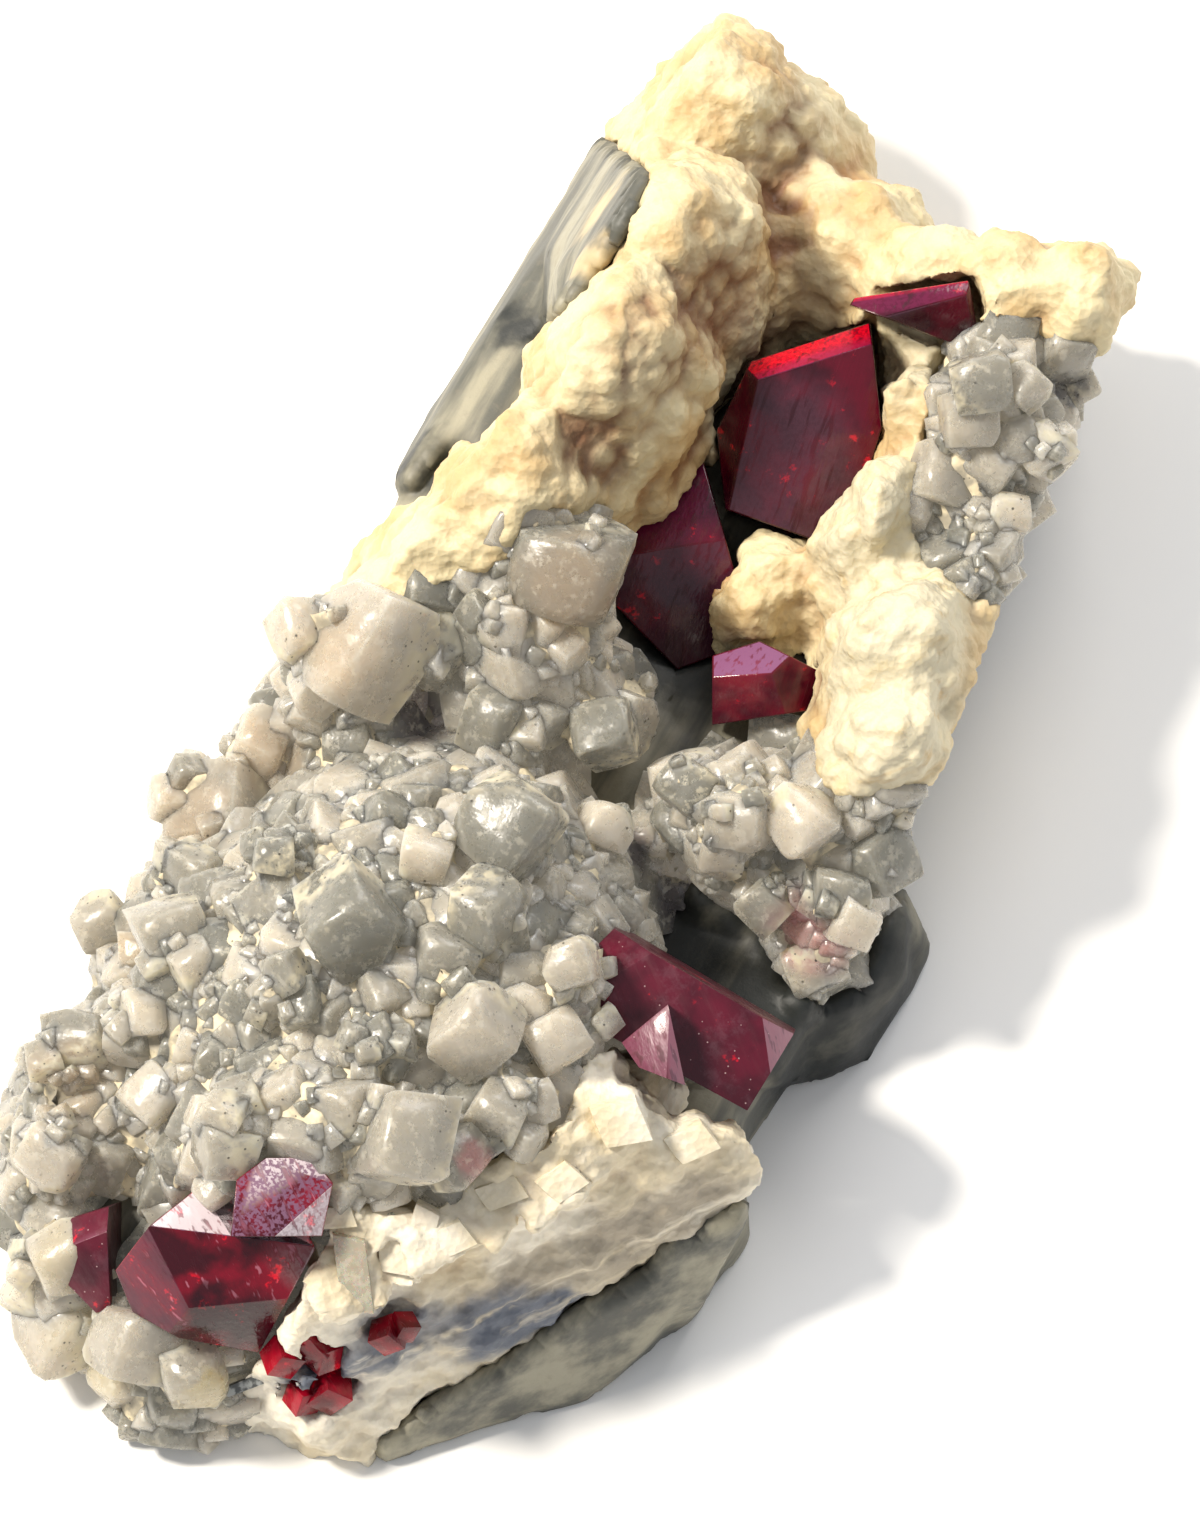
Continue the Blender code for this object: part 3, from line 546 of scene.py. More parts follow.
def dolomite_finish(name, hollow_stain_and_shade, browns, washes, pale=PALE, cream=CREAM):
    """Cream stone, amber in hollows as stain and painted shade, brown painted shade at spots, and
    washes.
    """
    finish = Finish(name)
    place = place_of(finish)
    hollow = carried(finish, "hollow")
    blots = clouds(finish, place, 4.0)
    fine = clouds(finish, place, 0.5, 3)
    # Amber in the hollows: partly iron stain, partly painted shade.
    stain_and_shade = (hollow.between(0.46, 0.86) * (blots.between(0.35, 0.7) * 0.7 + 0.3)) * hollow_stain_and_shade
    colour = finish.mix(blots.between(0.4, 0.65), pale, cream)
    colour = finish.mix(stain_and_shade, colour, AMBER)
    # Painted brown shade in the deepest hollows.
    colour = finish.mix(hollow.between(0.8, 1.0) * hollow_stain_and_shade, colour, BROWN)
    # Painted brown shade at the listed spots, strongest in hollows.
    brown_shade = marks(finish, place, browns) * (hollow.between(0.35, 0.7) * 0.7 + 0.2)
    colour = finish.mix(brown_shade, colour, SHADOW_BROWN)
    layers = clouds(finish, combed(finish, place, 0.9, 0.42, 0), 0.7, 4)
    for spots, shade in washes:
        washed = marks(finish, place, spots) * layers.between(0.25, 0.5)
        colour = finish.mix(washed, colour, shade)
    relief = cells(finish, place, 0.33) * 0.6 + fine * 0.6
    return finish.set(
        Base_Color=colour,
        Roughness=0.5 + fine * 0.25,
        Normal=bump(finish, relief, 0.12, 0.8),
        Subsurface_Weight=0.12,
        Subsurface_Radius=(1.0, 0.75, 0.45),
        Subsurface_Scale=0.0008,
        IOR=1.6,
    )


warm = dolomite_finish("warm dolomite", 1.0, RIDGE_SHADOWS, [CREST_WASH])
dress(ridge, warm, "dolomite", "dolomite_upper")
pale = dolomite_finish(
    "pale dolomite", 0.3, LEDGE_BROWNS, [STREAK_WASH, BLUE_WASH],
    pale=tone(222, 214, 196), cream=tone(206, 192, 162),
)
dress(ledge, pale, "dolomite", "dolomite_ledge")

# %% [markdown]
# ## Host rock
# The grey rock that everything grew on shows at the left flank, in the gully, as a dark
# lump at the right, and below the ledge. It broke smooth, and it is streaked along its
# length, so its noise is stretched that way. It is painted near black at the dark lump,
# which is dark rock, and in the gully and deep hollows, where the black is painted shade.

# %% Host rock
ROCK_VOXEL, ROCK_SWELL = 0.3, 0.34
host = fine_copy("host_rock", "host_rock_skin", ROCK_VOXEL)
swollen(host, ROCK_SWELL)
pushed(host, "CLOUDS", 3.2, 0.16, {"noise_depth": 2})

# Near black at the dark lump, which is dark rock, and painted shade in the gully and deep hollows.
DARK_LUMP_AND_GULLY_SHADE = [
    (870, 1000, 6.0), (820, 1035, 5.0), (700, 930, 6.0), (760, 980, 5.0), (640, 880, 4.0),
    (650, 720, 5.0), (690, 640, 4.0), (425, 470, 2.4), (520, 330, 1.6),
]
UPPER_EDGE = [(605, 215, 2.2), (590, 260, 1.6)]


STREAKED = (2.2, 14.0, 2.2)


def host_finish():
    """Grey rock streaked along its length, near black at the dark lump and as painted shade in the
    gully.
    """
    finish = Finish("host rock")
    along = place_of(finish, STREAKED)
    place = place_of(finish)
    streaks = clouds(finish, along, 1.0, 5, 0.6)
    grain = clouds(finish, place, 0.6, 5, 0.7)
    colour = finish.mix(streaks.between(0.38, 0.62), tone(84, 84, 77), tone(150, 145, 126))
    colour = finish.mix(grain.between(0.5, 0.75) * 0.4, colour, tone(122, 114, 100))
    # Near black: dark rock at the lump, painted shade in the gully.
    dark = marks(finish, place, DARK_LUMP_AND_GULLY_SHADE)
    colour = finish.mix(dark * (1 - streaks.between(0.5, 0.75) * 0.25), colour, tone(30, 33, 31))
    colour = finish.mix(marks(finish, place, UPPER_EDGE), colour, tone(184, 166, 130))
    return finish.set(
        Base_Color=colour,
        Roughness=0.4 + grain * 0.3,
        Normal=bump(finish, grain + streaks * 0.3, 0.05, 0.6),
    )


dress(host, host_finish(), "host_rock", "host_rock")

# %% [markdown]
# ## Quartz
# The grey crusts are druses: hundreds of stubby quartz crystals shoulder to shoulder,
# each almost a cube seen from a corner. A few shapes are sliced from a block and given
# worn edges. Then they are set over the crust, large ones first and small ones in the
# space that is left, each turned at random and sunk in by about half.

# %% A block sliced into a crystal
BLOCK_SIZE = 6
# Corners that nearly meet are one, and wear moves a vertex this share to its neighbours.
NEARLY_MET, WEAR = 0.12, 0.3
# Wear shrinks a crystal a little, so it is scaled back.
WORN_BACK = 1.07


def sliced(faces, finer, worn):
    """A crystal from flat cuts, refined and worn a number of times, as points and faces."""
    block = bmesh.new()
    bmesh.ops.create_cube(block, size=BLOCK_SIZE)
    for direction, distance in faces:
        outward = Vector(direction).normalized()
        geometry = block.verts[:] + block.edges[:] + block.faces[:]
        cut = bmesh.ops.bisect_plane(
            block, geom=geometry, plane_co=outward * distance, plane_no=outward, clear_outer=True
        )
        rim = [item for item in cut["geom_cut"] if isinstance(item, bmesh.types.BMEdge)]
        if rim:
            bmesh.ops.contextual_create(block, geom=rim)
    bmesh.ops.remove_doubles(block, verts=block.verts, dist=NEARLY_MET)
    bmesh.ops.recalc_face_normals(block, faces=block.faces)
    bmesh.ops.triangulate(block, faces=block.faces)
    for _ in range(finer):
        bmesh.ops.subdivide_edges(block, edges=block.edges[:], cuts=1, use_grid_fill=True)
        bmesh.ops.triangulate(block, faces=block.faces)
    for _ in range(worn):
        bmesh.ops.smooth_vert(
            block, verts=block.verts, factor=WEAR, use_axis_x=True, use_axis_y=True, use_axis_z=True
        )
    block.verts.index_update()
    points = np.array([vertex.co[:] for vertex in block.verts])
    faces = np.array([[vertex.index for vertex in face.verts] for face in block.faces])
    block.free()
    return points * WORN_BACK, faces


CORNERS = [
    (1, 1, 1), (1, 1, -1), (1, -1, 1), (-1, 1, 1), (-1, -1, 1), (-1, 1, -1), (1, -1, -1), (-1, -1, -1),
]
SIDES = [
    (1, 1, 0), (1, -1, 0), (-1, 1, 0), (-1, -1, 0), (1, 0, 1), (1, 0, -1), (0, 1, 1), (0, -1, 1),
]


def stubby(draw, corners, sides):
    """Flat cuts of a stubby quartz crystal of half width 1."""
    faces = []
    for axis in range(3):
        for side in (-1, 1):
            direction = [draw.uniform(-0.12, 0.12) for _ in range(3)]
            direction[axis] = side
            faces.append((direction, draw.uniform(0.84, 1.0)))
    for corner in draw.sample(CORNERS, corners):
        faces.append((corner, draw.uniform(1.12, 1.4)))
    for side in draw.sample(SIDES, sides):
        faces.append((side, draw.uniform(1.08, 1.22)))
    return faces


SHAPE_SEED = 3
shape_draw = random.Random(SHAPE_SEED)
large_shapes = [sliced(stubby(shape_draw, 4, 3), 1, 1) for _ in range(14)]
small_shapes = [sliced(stubby(shape_draw, 4, 0), 1, 1) for _ in range(10)]
print("triangles of a crystal:", len(large_shapes[0][1]), "or small:", len(small_shapes[0][1]))

# %% [markdown]
# Quartz grows only into open space. Random spots on a node's faces are tried, larger faces
# more often, and kept where no other solid lies close in front of them.

# %% Where crystals can grow
OPEN_SPACE = 1.5
# A look outward starts this far off the face, and faces turned down further are left bare.
JUST_OFF, TURNED_DOWN = 0.03, -0.5
cinnabar_surface = surface_of("cinnabar")


def open_spots(node, count, draw):
    """Random spots on a node's outside, with their directions outward."""
    mesh = nodes[node].data
    mesh.calc_loop_triangles()
    points = points_of(mesh)
    corners = np.array([t.vertices[:] for t in mesh.loop_triangles])
    a, b, c = (points[corners[:, i]] for i in range(3))
    cross = np.cross(b - a, c - a)
    size = np.linalg.norm(cross, axis=1)
    picked = draw.choice(len(size), count, p=size / size.sum())
    u, v = draw.random(count), draw.random(count)
    flip = u + v > 1
    u[flip], v[flip] = 1 - u[flip], 1 - v[flip]
    spots = a[picked] + (b - a)[picked] * u[:, None] + (c - a)[picked] * v[:, None]
    found = []
    for corner, outward in zip(spots, (cross / size.clip(1e-12)[:, None])[picked]):
        place, direction = Vector(corner), Vector(outward)
        start = place + direction * JUST_OFF * MM
        hit = stone_surface.ray_cast(start, direction, OPEN_SPACE * MM)
        if hit[0] is None and direction.z > TURNED_DOWN:
            found.append((place, direction))
    return found


class Crowd:
    """Spots already taken, sorted into boxes so that a near one is found quickly."""

    BOX = 2.0 * MM

    def __init__(self):
        self.boxes = {}

    def key(self, place):
        return tuple(int(math.floor(v / self.BOX)) for v in place)

    def room(self, place, half, closeness):
        x, y, z = self.key(place)
        for i in (-1, 0, 1):
            for j in (-1, 0, 1):
                for k in (-1, 0, 1):
                    for other, size in self.boxes.get((x + i, y + j, z + k), ()):
                        if (other - place).length < closeness * (half + size):
                            return False
        return True

    def add(self, place, half):
        self.boxes.setdefault(self.key(place), []).append((place, half))


# %% [markdown]
# The large crystals that the photo shows one by one are listed by their pixels. The rest
# is scattered. A crowd keeps them apart, and lets them touch and overlap a little. Each
# vertex carries how deep it sits, for dust, and each crystal carries a shade of its own.

# %% Setting the crystals
# Half width in millimetres above which a crystal has all its faces.
LARGE = 0.62


def set_crystals(name, grown, draw):
    """One mesh from (middle, outward, half width) of many crystals."""
    points, faces, dust, shade = [], [], [], []
    start = 0
    for middle, outward, half in grown:
        shapes = large_shapes if half > LARGE * MM else small_shapes
        shape_points, shape_faces = shapes[draw.randrange(len(shapes))]
        turn = Quaternion([draw.gauss(0, 1) for _ in range(4)]).normalized().to_matrix()
        stretch = np.array([draw.uniform(0.88, 1.16) for _ in range(3)])
        local = (shape_points * stretch) @ np.array(turn).T * half
        points.append(local + np.array(middle))
        faces.append(shape_faces + start)
        start += len(shape_points)
        raised = (local @ np.array(outward)) / half
        dust.append((0.5 - 0.5 * raised).clip(0, 1))
        shade.append(np.full(len(local), draw.random()))
    mesh = bpy.data.meshes.new(name)
    mesh.from_pydata(np.concatenate(points).tolist(), [], np.concatenate(faces).tolist())
    keep_number(mesh, "dust", np.concatenate(dust))
    keep_number(mesh, "shade", np.concatenate(shade))
    mesh.polygons.foreach_set("use_smooth", [True] * len(mesh.polygons))
    return link(bpy.data.objects.new(name, mesh))


# Shares of a crystal's half width: how deep its middle is sunk, the space round a listed
# one, how near to others and to the red crystals it may grow, and how high off the base.
LISTED_SUNK, LISTED_SPACE = 0.8, 1.3
SUNK_FROM, SUNK_TO = 0.7, 1.05
CLOSENESS, OFF_CINNABAR, OFF_BASE = 0.68, 0.35, 1.1


def grow_druse(node, listed, sizes, seed):
    """Crystals over a node: those listed by pixel, then random ones of each size."""
    draw = random.Random(seed)
    numbers = np.random.default_rng(seed)
    crowd = Crowd()
    grown = []
    for pixel_x, pixel_y, half in listed:
        place, outward, _, _ = stone_surface.ray_cast(*sight_line(pixel_x, pixel_y))
        if place is None:
            continue
        middle = place - outward * half * LISTED_SUNK * MM
        grown.append((middle, outward, half * MM))
        crowd.add(middle, half * LISTED_SPACE * MM)
    for half, tries in sizes:
        for place, outward in open_spots(node, tries, numbers):
            size = half * draw.uniform(0.82, 1.22) * MM
            middle = place - outward * size * draw.uniform(SUNK_FROM, SUNK_TO)
            touched = cinnabar_surface.find_nearest(middle, size * OFF_CINNABAR)[0]
            free = middle.z > size * OFF_BASE and touched is None
            if free and crowd.room(middle, size, CLOSENESS):
                grown.append((middle, outward, size))
                crowd.add(middle, size)
    return grown, draw


# Pixel across, pixel down, and half width in millimetres.
MOUND_CRYSTALS = [
    (570, 580, 2.1), (342, 652, 2.1), (268, 750, 1.2), (208, 808, 1.6), (188, 880, 1.0),
    (506, 848, 1.7), (438, 854, 0.9), (630, 707, 1.3), (590, 726, 1.3), (596, 831, 0.9),
    (354, 934, 1.6), (496, 924, 1.2), (476, 1048, 1.5), (552, 1032, 1.1), (575, 976, 1.0),
    (391, 1130, 1.6), (470, 1157, 1.2),
]
# Half widths in millimetres, each with how many spots are tried.
SIZES = {
    "quartz_mound": [(1.05, 2600), (0.8, 3600), (0.55, 5200), (0.34, 6500)],
    "quartz_pocket": [(1.15, 900), (0.85, 1100), (0.5, 1500), (0.34, 1600)],
    "quartz_slope": [(1.05, 900), (0.8, 1100), (0.5, 1500), (0.34, 1600)],
    "quartz_foot": [(1.25, 900), (0.9, 900), (0.55, 1200)],
}
LISTED = {
    "quartz_mound": MOUND_CRYSTALS,
    "quartz_pocket": [(681, 802, 1.0), (741, 831, 1.2), (812, 834, 1.2)],
    "quartz_slope": [(1000, 370, 1.3), (1035, 340, 1.1), (965, 425, 1.2), (940, 480, 1.1)],
    "quartz_foot": [(130, 1335, 1.3), (60, 1265, 1.2), (205, 1390, 1.4), (110, 1385, 1.2)],
}
FIRST_SEED = 11
druses = {}
for seed, (node, sizes) in enumerate(SIZES.items(), FIRST_SEED):
    grown, draw = grow_druse(node, LISTED[node], sizes, seed)
    druses[node] = set_crystals(node + "_crystals", grown, draw)
    print(node, "crystals:", len(grown), "triangles:", len(druses[node].data.polygons))

# %% [markdown]
# Between the crystals their common crust shows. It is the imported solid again, drawn in a
# little so that the crystals stand out of it, and broken up by cells of their size.

# %% Quartz: the crust below the crystals
CRUST_SHRINK = -0.22
CRUST_CELLS = (1.3, -0.5)


def crust_below(node):
    item = fine_copy(node, node + "_crust", ROCK_VOXEL)
    swollen(item, CRUST_SHRINK)
    pushed(item, "VORONOI", *CRUST_CELLS)
    measure_hollows(item, rounds=16, span=0.35)
    return item


# %% [markdown]
# This quartz is cloudy: light goes in, scatters and comes out elsewhere. Part of it passes
# through, part is scattered under the surface, and a faint even glow of the crystal's own
# colour is painted light, standing for what many such crystals pass on to each other. The
# crust below glows the same way. Pale dust with black specks lies where the crystals meet.

# %% Quartz: finish
# Spots in the photo, and the darkest and palest shade of the crystals there.
QUARTZ_WASHES = [
    (
        [
            (570, 590, 3.2), (342, 652, 2.6), (268, 750, 2.2), (200, 820, 2.6), (140, 930, 2.6),
            (70, 1080, 2.4),
        ],
        (tone(168, 152, 132), tone(204, 188, 166)),
    ),
    # The second darkens crystals; at the gully that darkening is painted shade.
    ([(670, 900, 2.6), (620, 850, 1.8), (420, 720, 1.8)], (tone(74, 68, 74), tone(150, 140, 140))),
    ([(1058, 388, 1.3)], (tone(40, 40, 44), tone(84, 82, 86))),
    ([(206, 1390, 1.5)], (tone(206, 186, 116), tone(222, 204, 136))),
    ([(810, 930, 2.4), (470, 1160, 1.2)], (tone(166, 110, 112), tone(220, 178, 170))),
    ([(110, 1350, 3.0), (60, 1260, 2.0), (200, 1400, 2.0)], (tone(178, 168, 142), tone(208, 198, 172))),
]
DUSTY = [
    (310, 850, 3.0), (250, 930, 2.5), (390, 760, 2.2), (300, 1060, 3.0), (230, 1000, 2.0),
    (700, 780, 2.0),
]
WASH_REACH = 2.0
# A faint painted glow of a finish's own colour, for light that crystals pass on to each other.
PAINTED_GLOW = 0.1


def quartz_finish():
    """Cloudy grey quartz, dusted where it sits deep, with a faint painted glow."""
    finish = Finish("grey quartz")
    place = place_of(finish)
    dust = carried(finish, "dust")
    shade = carried(finish, "shade")
    blots = clouds(finish, place, 0.7, 4)
    veil = clouds(finish, place, 0.45, 5, 0.7).between(0.54, 0.62)
    clear = finish.mix(shade.between(0.0, 1.0), tone(138, 137, 129), tone(202, 194, 180))
    for spots, shades in QUARTZ_WASHES:
        washed = marks(finish, place, spots, WASH_REACH) * 0.8
        clear = finish.mix(washed, clear, finish.mix(shade, *shades))
    powder = dust.between(0.36, 0.66) * blots.between(0.4, 0.6)
    powder = powder + marks(finish, place, DUSTY, WASH_REACH) * veil * 0.5
    colour = finish.mix(powder, clear, tone(218, 209, 184))
    colour = finish.mix(veil * 0.3, colour, tone(232, 226, 210))
    specks = cells(finish, place, 0.42)
    dark = (1 - specks.between(0.1, 0.16)) * dust.between(0.15, 0.4)
    colour = finish.mix(dark * 0.85, colour, tone(38, 32, 28))
    return finish.set(
        Base_Color=colour,
        Roughness=0.2 + powder * 0.4 + blots * 0.15 + veil * 0.2,
        Normal=bump(finish, blots, 0.08, 0.7),
        IOR=1.54,
        Specular_IOR_Level=0.35,
        Transmission_Weight=0.42,
        Emission_Color=colour,
        Emission_Strength=PAINTED_GLOW,
        Subsurface_Weight=1.0,
        Subsurface_Radius=(1.0, 0.9, 0.75),
        Subsurface_Scale=0.0014,
    )


def crust_finish():
    """Dusty crust with black specks, painted darker as shade in its hollows."""
    finish = Finish("quartz crust")
    place = place_of(finish)
    hollow = carried(finish, "hollow")
    blots = clouds(finish, place, 0.9, 4)
    colour = finish.mix(blots.between(0.4, 0.62), tone(150, 142, 124), tone(212, 198, 166))
    # Painted shade in the crust's hollows between the crystals.
    colour = finish.mix(hollow.between(0.65, 0.95) * 0.5, colour, tone(90, 82, 72))
    specks = cells(finish, place, 0.36)
    colour = finish.mix((1 - specks.between(0.09, 0.15)) * 0.85, colour, tone(34, 30, 26))
    return finish.set(
        Base_Color=colour,
        Roughness=0.55,
        Normal=bump(finish, blots, 0.1),
        # A faint painted glow, as on the crystals.
        Emission_Color=colour,
        Emission_Strength=PAINTED_GLOW,
    )


quartz = quartz_finish()
crust = crust_finish()
for node, crystals in druses.items():
    dress(crystals, quartz, "quartz")
    dress(crust_below(node), crust, "quartz", node)

# %% [markdown]
# On the ledge a few dolomite crystals stand out whole: blunt blocks as wide as two or
# three millimetres, one of them almost clear. They are cut the same way as the quartz,
# but keep their flat faces, and they are turned one by one to lie as in the photo.

# %% Single blocks on the ledge
BLOCK_CUTS = [
    ((1, 0.12, 0), 1), ((-1, -0.12, 0), 1), ((0.1, 1, 0), 1), ((-0.1, -1, 0), 1),
    ((0, 0.1, 1), 1), ((0, 0, -1), 1),
]
# Degrees that each block leans back, and the share of its depth that is sunk in.
LEAN = 14
SUNK = 0.45
PICTURE_AXES = Matrix((ACROSS, UPWARD, TOWARD)).transposed()
block_points, block_faces = sliced(BLOCK_CUTS, 2, 1)


def blocks(name, listed):
    """Blocks told by pixel, half sizes in millimetres, and degrees turned in the picture."""
    points, faces = [], []
    for number, (pixel_x, pixel_y, halves, degrees) in enumerate(listed):
        axes = PICTURE_AXES @ Matrix.Rotation(math.radians(degrees), 3, "Z")
        axes = axes @ Matrix.Rotation(math.radians(LEAN), 3, "X")
        middle = Vector(spot(pixel_x, pixel_y)) - TOWARD * halves[2] * SUNK
        points.append(((block_points * halves) @ np.array(axes).T + np.array(middle)) * MM)
        faces.append(block_faces + number * len(block_points))
    mesh = bpy.data.meshes.new(name)
    mesh.from_pydata(np.concatenate(points).tolist(), [], np.concatenate(faces).tolist())
    mesh.polygons.foreach_set("use_smooth", [True] * len(mesh.polygons))
    mesh.set_sharp_from_angle(angle=math.radians(40))
    return link(bpy.data.objects.new(name, mesh))


LEDGE_BLOCKS = [
    (318, 1245, (0.62, 0.8, 0.7), 12), (400, 1252, (0.8, 0.72, 0.6), -4),
    (452, 1236, (0.62, 0.55, 0.6), 30), (335, 1215, (0.7, 0.4, 0.5), 8),
    (500, 1190, (0.8, 0.5, 0.6), 24), (560, 1180, (0.7, 0.6, 0.6), 40),
    (620, 1120, (0.9, 0.8, 0.8), 15), (690, 1140, (0.8, 0.6, 0.7), 28),
    (425, 1222, (0.5, 0.6, 0.5), -20),
]
CLEAR_BLOCKS = [(353, 1270, (0.6, 1.45, 0.7), 4), (386, 1222, (0.45, 0.4, 0.5), 20)]
GREY_SLIVER = [(246, 1384, (0.95, 0.2, 0.16), 22)]


def clear_finish():
    """Dolomite that lets half of the light through."""
    finish = Finish("clear dolomite")
    veil = clouds(finish, place_of(finish), 0.5, 5, 0.7)
    return finish.set(
        Base_Color=finish.mix(veil.between(0.4, 0.7), tone(206, 196, 176), tone(234, 226, 208)),
        Roughness=0.12 + veil * 0.3,
        Normal=bump(finish, veil, 0.05, 0.5),
        Transmission_Weight=0.5,
        Subsurface_Weight=0.5,
        Subsurface_Scale=0.001,
        IOR=1.6,
    )


def sliver_finish():
    """The silvery sheen of a cleaved sliver."""
    finish = Finish("grey sliver")
    lines = clouds(finish, place_of(finish), 0.3, 3)
    return finish.set(
        Base_Color=finish.mix(lines.between(0.4, 0.6), tone(92, 94, 92), tone(170, 172, 168)),
        Roughness=0.25 + lines * 0.3,
        Metallic=0.5,
        Normal=bump(finish, lines, 0.04, 0.6),
    )


dress(blocks("ledge_blocks", LEDGE_BLOCKS), pale, "dolomite")
dress(blocks("clear_block", CLEAR_BLOCKS), clear_finish(), "dolomite")
dress(blocks("grey_sliver", GREY_SLIVER), sliver_finish(), "host_rock")

# %% [markdown]
# ## Cinnabar
# Cinnabar is mercury sulphide. It bends light more than diamond does, so its faces flash
# silver where they mirror the sky and are a deep wine red elsewhere. The solids already
# have its faces, so each is copied, its edges are rounded by a hair, and fine growth
# lines are put on by bump.

# %% Cinnabar: shape
CRYSTAL_EDGE, GRAIN_EDGE = 0.07, 0.03
STILL_FLAT, AN_EDGE, A_SHARP_EDGE = (math.radians(degrees) for degrees in (1.5, 8, 30))


def rounded(node, width):
    """A crystal's solid with its flat faces whole again and its edges rounded."""
    item = link(bpy.data.objects.new(node + "_crystal", nodes[node].data.copy()))
    mesh_data = bmesh.new()
    mesh_data.from_mesh(item.data)
    bmesh.ops.remove_doubles(mesh_data, verts=mesh_data.verts, dist=WELD)
    bmesh.ops.dissolve_limit(
        mesh_data, angle_limit=STILL_FLAT, verts=mesh_data.verts, edges=mesh_data.edges
    )
    mesh_data.to_mesh(item.data)
    mesh_data.free()
    modifier = item.modifiers.new("round", "BEVEL")
    modifier.width = width * MM
    modifier.segments = 2
    modifier.limit_method = "ANGLE"
    modifier.angle_limit = AN_EDGE
    baked(item)
    item.data.polygons.foreach_set("use_smooth", [True] * len(item.data.polygons))
    item.data.set_sharp_from_angle(angle=A_SHARP_EDGE)
    return item


# %% [markdown]
# In the photo one face of a crystal is silver, its neighbour lilac and the next nearly
# black, because each mirrors another part of the room. Those flashes are painted
# reflections, put on by the direction of the face, drawn through the growth lines, so they
# stay with the stone and hold from any side. Small red glints inside are painted too, and
# glow a little.

# %% Cinnabar: finish
# A face counts as turned this way between these two cosines.
FACING_FROM, FACING_TO = 0.95, 0.98


def facing(finish, across, up, toward):
    """1 on flat faces that look this way, told across, up and toward the viewer."""
    wanted = (ACROSS * across + UPWARD * up + TOWARD * toward).normalized()
    normal = finish.node("ShaderNodeTexCoord", output="Normal")
    along = finish.vector("DOT_PRODUCT", {0: normal, 1: wanted}, "Value")
    return along.between(FACING_FROM, FACING_TO)


def cinnabar_finish(
    name, deep, bright, glow, haze=0.0, gloss=0.14, faces=(), way=(0.42, -0.9, 0), shadows=(),
    striped=0.0,
):
    """Deep to bright red with painted glints. Faces lists a direction, share, painted reflection tone
    and graininess.
    """
    finish = Finish(name)
    place = place_of(finish)
    lines = clouds(finish, combed(finish, place, *way), 0.26, 2, 0.6)
    etched = clouds(finish, place, 0.16, 2).between(0.44, 0.58)
    blots = clouds(finish, place, 2.2, 3)
    # Painted red glints inside the crystal, which also glow through the emission.
    painted_glints = clouds(finish, place, 0.9, 4, 0.7).between(0.6, 0.68) * blots.between(0.45, 0.6)
    colour = finish.mix(blots.between(0.35, 0.65), deep, bright)
    colour = finish.mix(painted_glints * 0.8, colour, tone(190, 10, 34))
    crust = clouds(finish, place, 1.6, 6, 0.75).between(0.5, 0.66) * haze
    colour = finish.mix(crust, colour, tone(150, 120, 132))
    flecks = 1 - cells(finish, place, 0.42).between(0.05, 0.1)
    colour = finish.mix(flecks * (0.5 if haze else 0.0), colour, tone(206, 176, 176))
    stripes = lines.between(0.62, 0.67) * blots.between(0.4, 0.55)
    colour = finish.mix(stripes * striped, colour, tone(196, 130, 150))
    # Painted reflections: a tone on each face turned a given way.
    for direction, share, shade, grainy in faces:
        streaked = facing(finish, *direction) * (1 - lines.between(0.54, 0.64) * 0.7) * share
        colour = finish.mix(streaked * (1 - etched * grainy), colour, shade)
    if shadows:
        colour = finish.mix(marks(finish, place, shadows) * 0.9, colour, tone(26, 5, 14))
    return finish.set(
        Base_Color=colour,
        Roughness=gloss + lines.between(0.45, 0.7) * 0.2 + crust * 0.4,
        Normal=bump(finish, lines, 0.04, 0.55),
        IOR=1.6,
        Specular_IOR_Level=0.25,
        Emission_Color=finish.mix(painted_glints, (0, 0, 0, 1), tone(190, 6, 20)),
        Emission_Strength=glow,
        Coat_Weight=0.1,
        Coat_Roughness=0.05,
    )


# %% [markdown]
# Five such finishes are enough: the great crystal, the red grains, the dark crystals of the
# hollow, the matt ones at the gully and the left end, and the striped one below the crest.

# %% Cinnabar: the five finishes
# Tones of painted reflections on the faces.
SILVER, LILAC, MAUVE = tone(206, 194, 200), tone(112, 80, 102), tone(76, 20, 44)

# Directions of the faces that flash: across, up and toward the viewer.
GREAT_TOP, GREAT_LEFT = (0.19, 0.55, 0.81), (-0.44, -0.51, 0.74)
GREAT_SMALL, GREAT_GRAINY = (0.5, -0.25, 0.83), (0.1, 0.25, 0.96)
HOLLOW_EDGE, SHADE_LOW, SHOULDER_LONG = (-0.2, 0.75, 0.63), (0, -0.3, 0.95), (-0.1, 0.55, 0.83)
TWIN_RIGHT, SMALL_LEFT, SMALL_RIGHT = (0.8, 0.05, 0.6), (-0.45, 0.2, 0.87), (0.75, 0.1, 0.65)
SILL_TOP = (-0.2, 0.6, 0.77)
# Growth lines of the crystals round the hollow.
STEEP = (0.3, 0.95, 0)

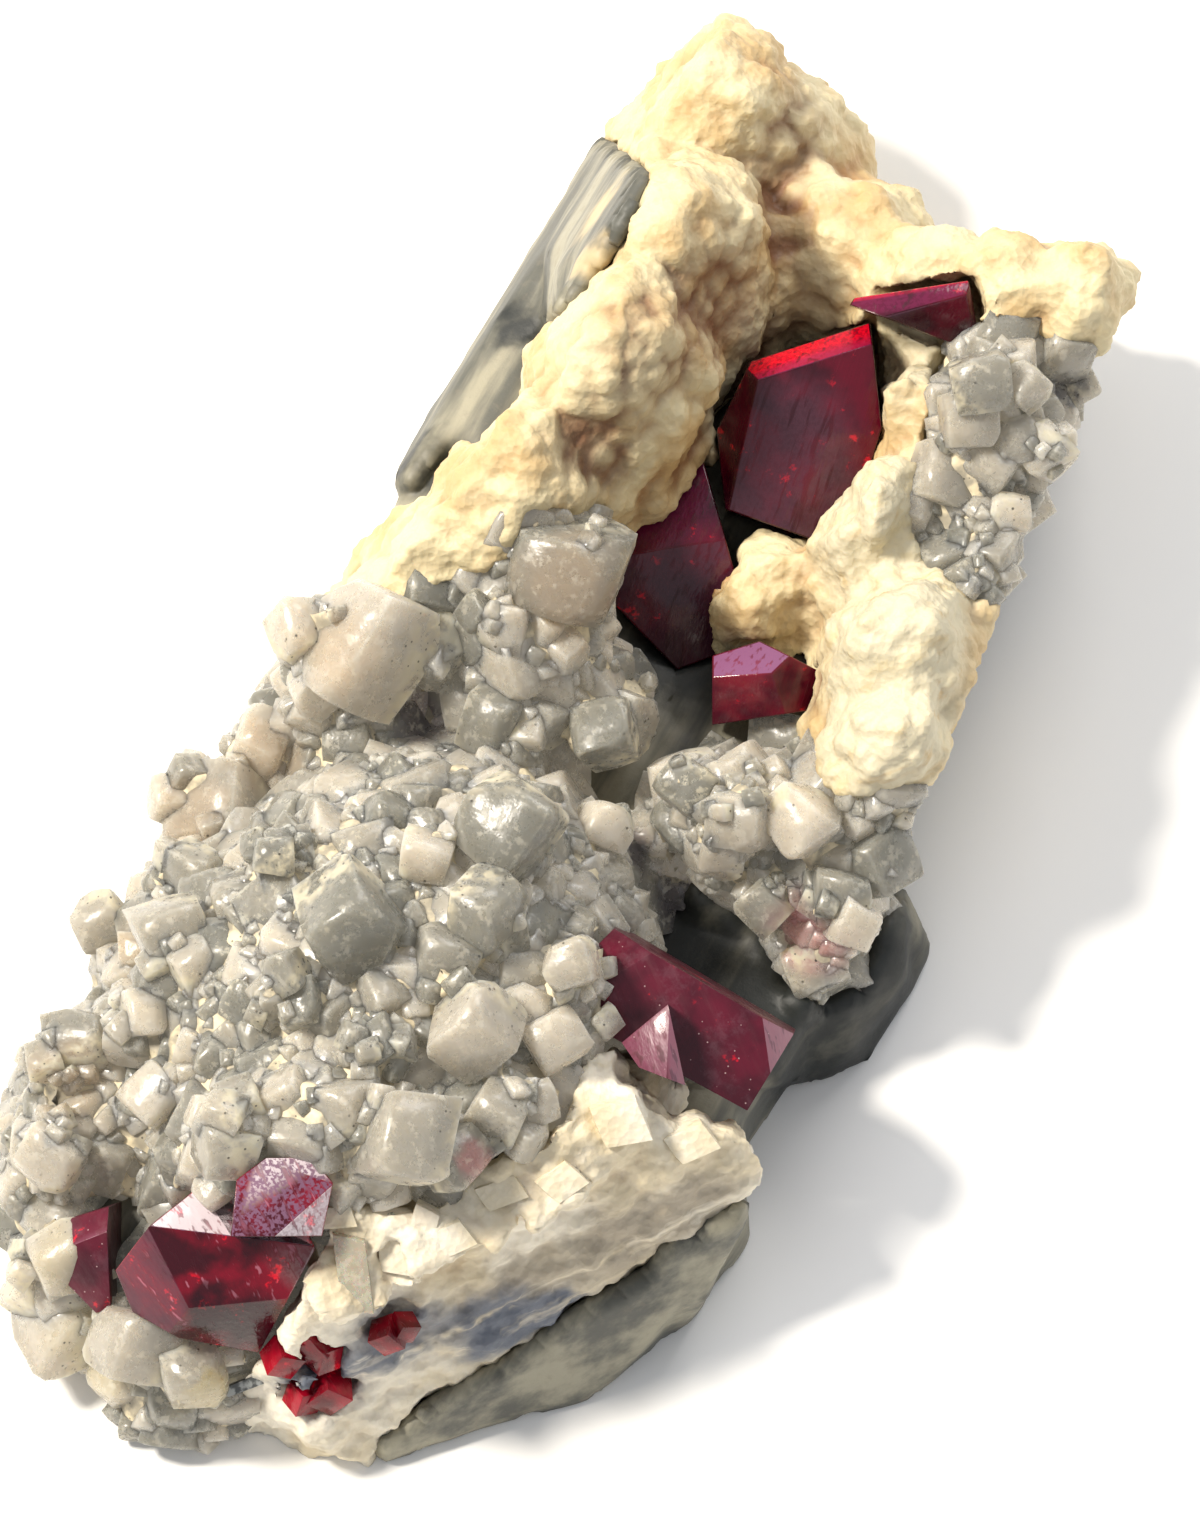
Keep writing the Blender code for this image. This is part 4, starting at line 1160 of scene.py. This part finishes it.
wine = cinnabar_finish(
    "wine red cinnabar", tone(52, 3, 16), tone(120, 6, 32), 0.5,
    faces=[
        (GREAT_TOP, 0.95, SILVER, 0), (GREAT_LEFT, 0.7, MAUVE, 0.2),
        (GREAT_SMALL, 0.9, SILVER, 0.3), (GREAT_GRAINY, 0.9, LILAC, 0.95),
    ],
    shadows=[(250, 1322, 2.4), (210, 1315, 1.6)], striped=0.45,
)
bright = cinnabar_finish("bright red cinnabar", tone(84, 4, 16), tone(150, 8, 32), 0.3)
dark = cinnabar_finish(
    "dark cinnabar", tone(44, 3, 16), tone(84, 6, 28), 0.1, way=STEEP,
    faces=[
        (HOLLOW_EDGE, 1.0, tone(200, 10, 34), 0.4), (SHADE_LOW, 0.5, tone(84, 54, 68), 0.2),
        (SHOULDER_LONG, 0.7, tone(104, 30, 64), 0.3),
    ],
)
dull = cinnabar_finish(
    "dull maroon cinnabar", tone(58, 7, 24), tone(84, 12, 34), 0.0, 0.08, 0.35,
    faces=[
        (TWIN_RIGHT, 0.8, tone(168, 140, 160), 0), (SMALL_LEFT, 0.8, tone(112, 58, 78), 0.2),
        (SMALL_RIGHT, 0.6, tone(120, 14, 38), 0),
    ],
)
striped = cinnabar_finish(
    "purple cinnabar", tone(60, 8, 26), tone(104, 18, 36), 0.1,
    faces=[(SILL_TOP, 0.95, tone(120, 76, 108), 0)], way=STEEP,
)
LOOKS = {
    "cinnabar_great": wine, "cinnabar_twin": dull, "cinnabar_sill": striped, "cinnabar_west": dull,
}
for node in nodes:
    if node.startswith("cinnabar_grain"):
        dress(rounded(node, GRAIN_EDGE), bright, "cinnabar", node)
    elif node.startswith("cinnabar"):
        dress(rounded(node, CRYSTAL_EDGE), LOOKS.get(node, dark), "cinnabar", node)

# %% [markdown]
# ## Light, floor and size
# A warm light from the upper left gives the shadows of the photo. A broad soft one above
# the picture is set where the silver faces would mirror it, though their silver is painted,
# and a dim sky fills the rest.

# %% Floor and lights
FLOOR_HALF = 3.0


def add_floor():
    mesh = bpy.data.meshes.new("floor")
    corners = [(x * FLOOR_HALF, y * FLOOR_HALF, 0) for x, y in ((-1, -1), (1, -1), (1, 1), (-1, 1))]
    mesh.from_pydata(corners, [], [(0, 1, 2, 3)])
    item = link(bpy.data.objects.new("floor", mesh))
    finish = Finish("pale floor")
    finish.set(Base_Color=tone(244, 243, 241), Roughness=0.9)
    mesh.materials.append(finish.material)


def add_light(name, direction, distance, size, power, colour):
    """An area light in a direction given across, up and toward the viewer."""
    across, up, toward = direction
    outward = (ACROSS * across + UPWARD * up + TOWARD * toward).normalized()
    data = bpy.data.lights.new(name, "AREA")
    data.shape = "DISK"
    data.size = size
    data.energy = power
    data.color = colour
    item = link(bpy.data.objects.new(name, data))
    item.location = outward * distance
    item.rotation_euler = outward.to_track_quat("Z", "Y").to_euler()


add_floor()
add_light("key", (-0.75, 0.55, 0.95), distance=0.9, size=0.18, power=13.5, colour=(1.0, 0.93, 0.82))
add_light("above", (0.31, 0.90, 0.32), distance=0.8, size=0.4, power=3.0, colour=(1.0, 0.98, 0.96))

SKY_COLOUR, SKY_STRENGTH = (0.92, 0.95, 1.0, 1), 0.56
world = bpy.data.worlds.new("sky")
world.use_nodes = True
sky = world.node_tree.nodes["Background"]
sky.inputs["Color"].default_value = SKY_COLOUR
sky.inputs["Strength"].default_value = SKY_STRENGTH
bpy.context.scene.world = world
bpy.context.scene.view_settings.view_transform = "Standard"
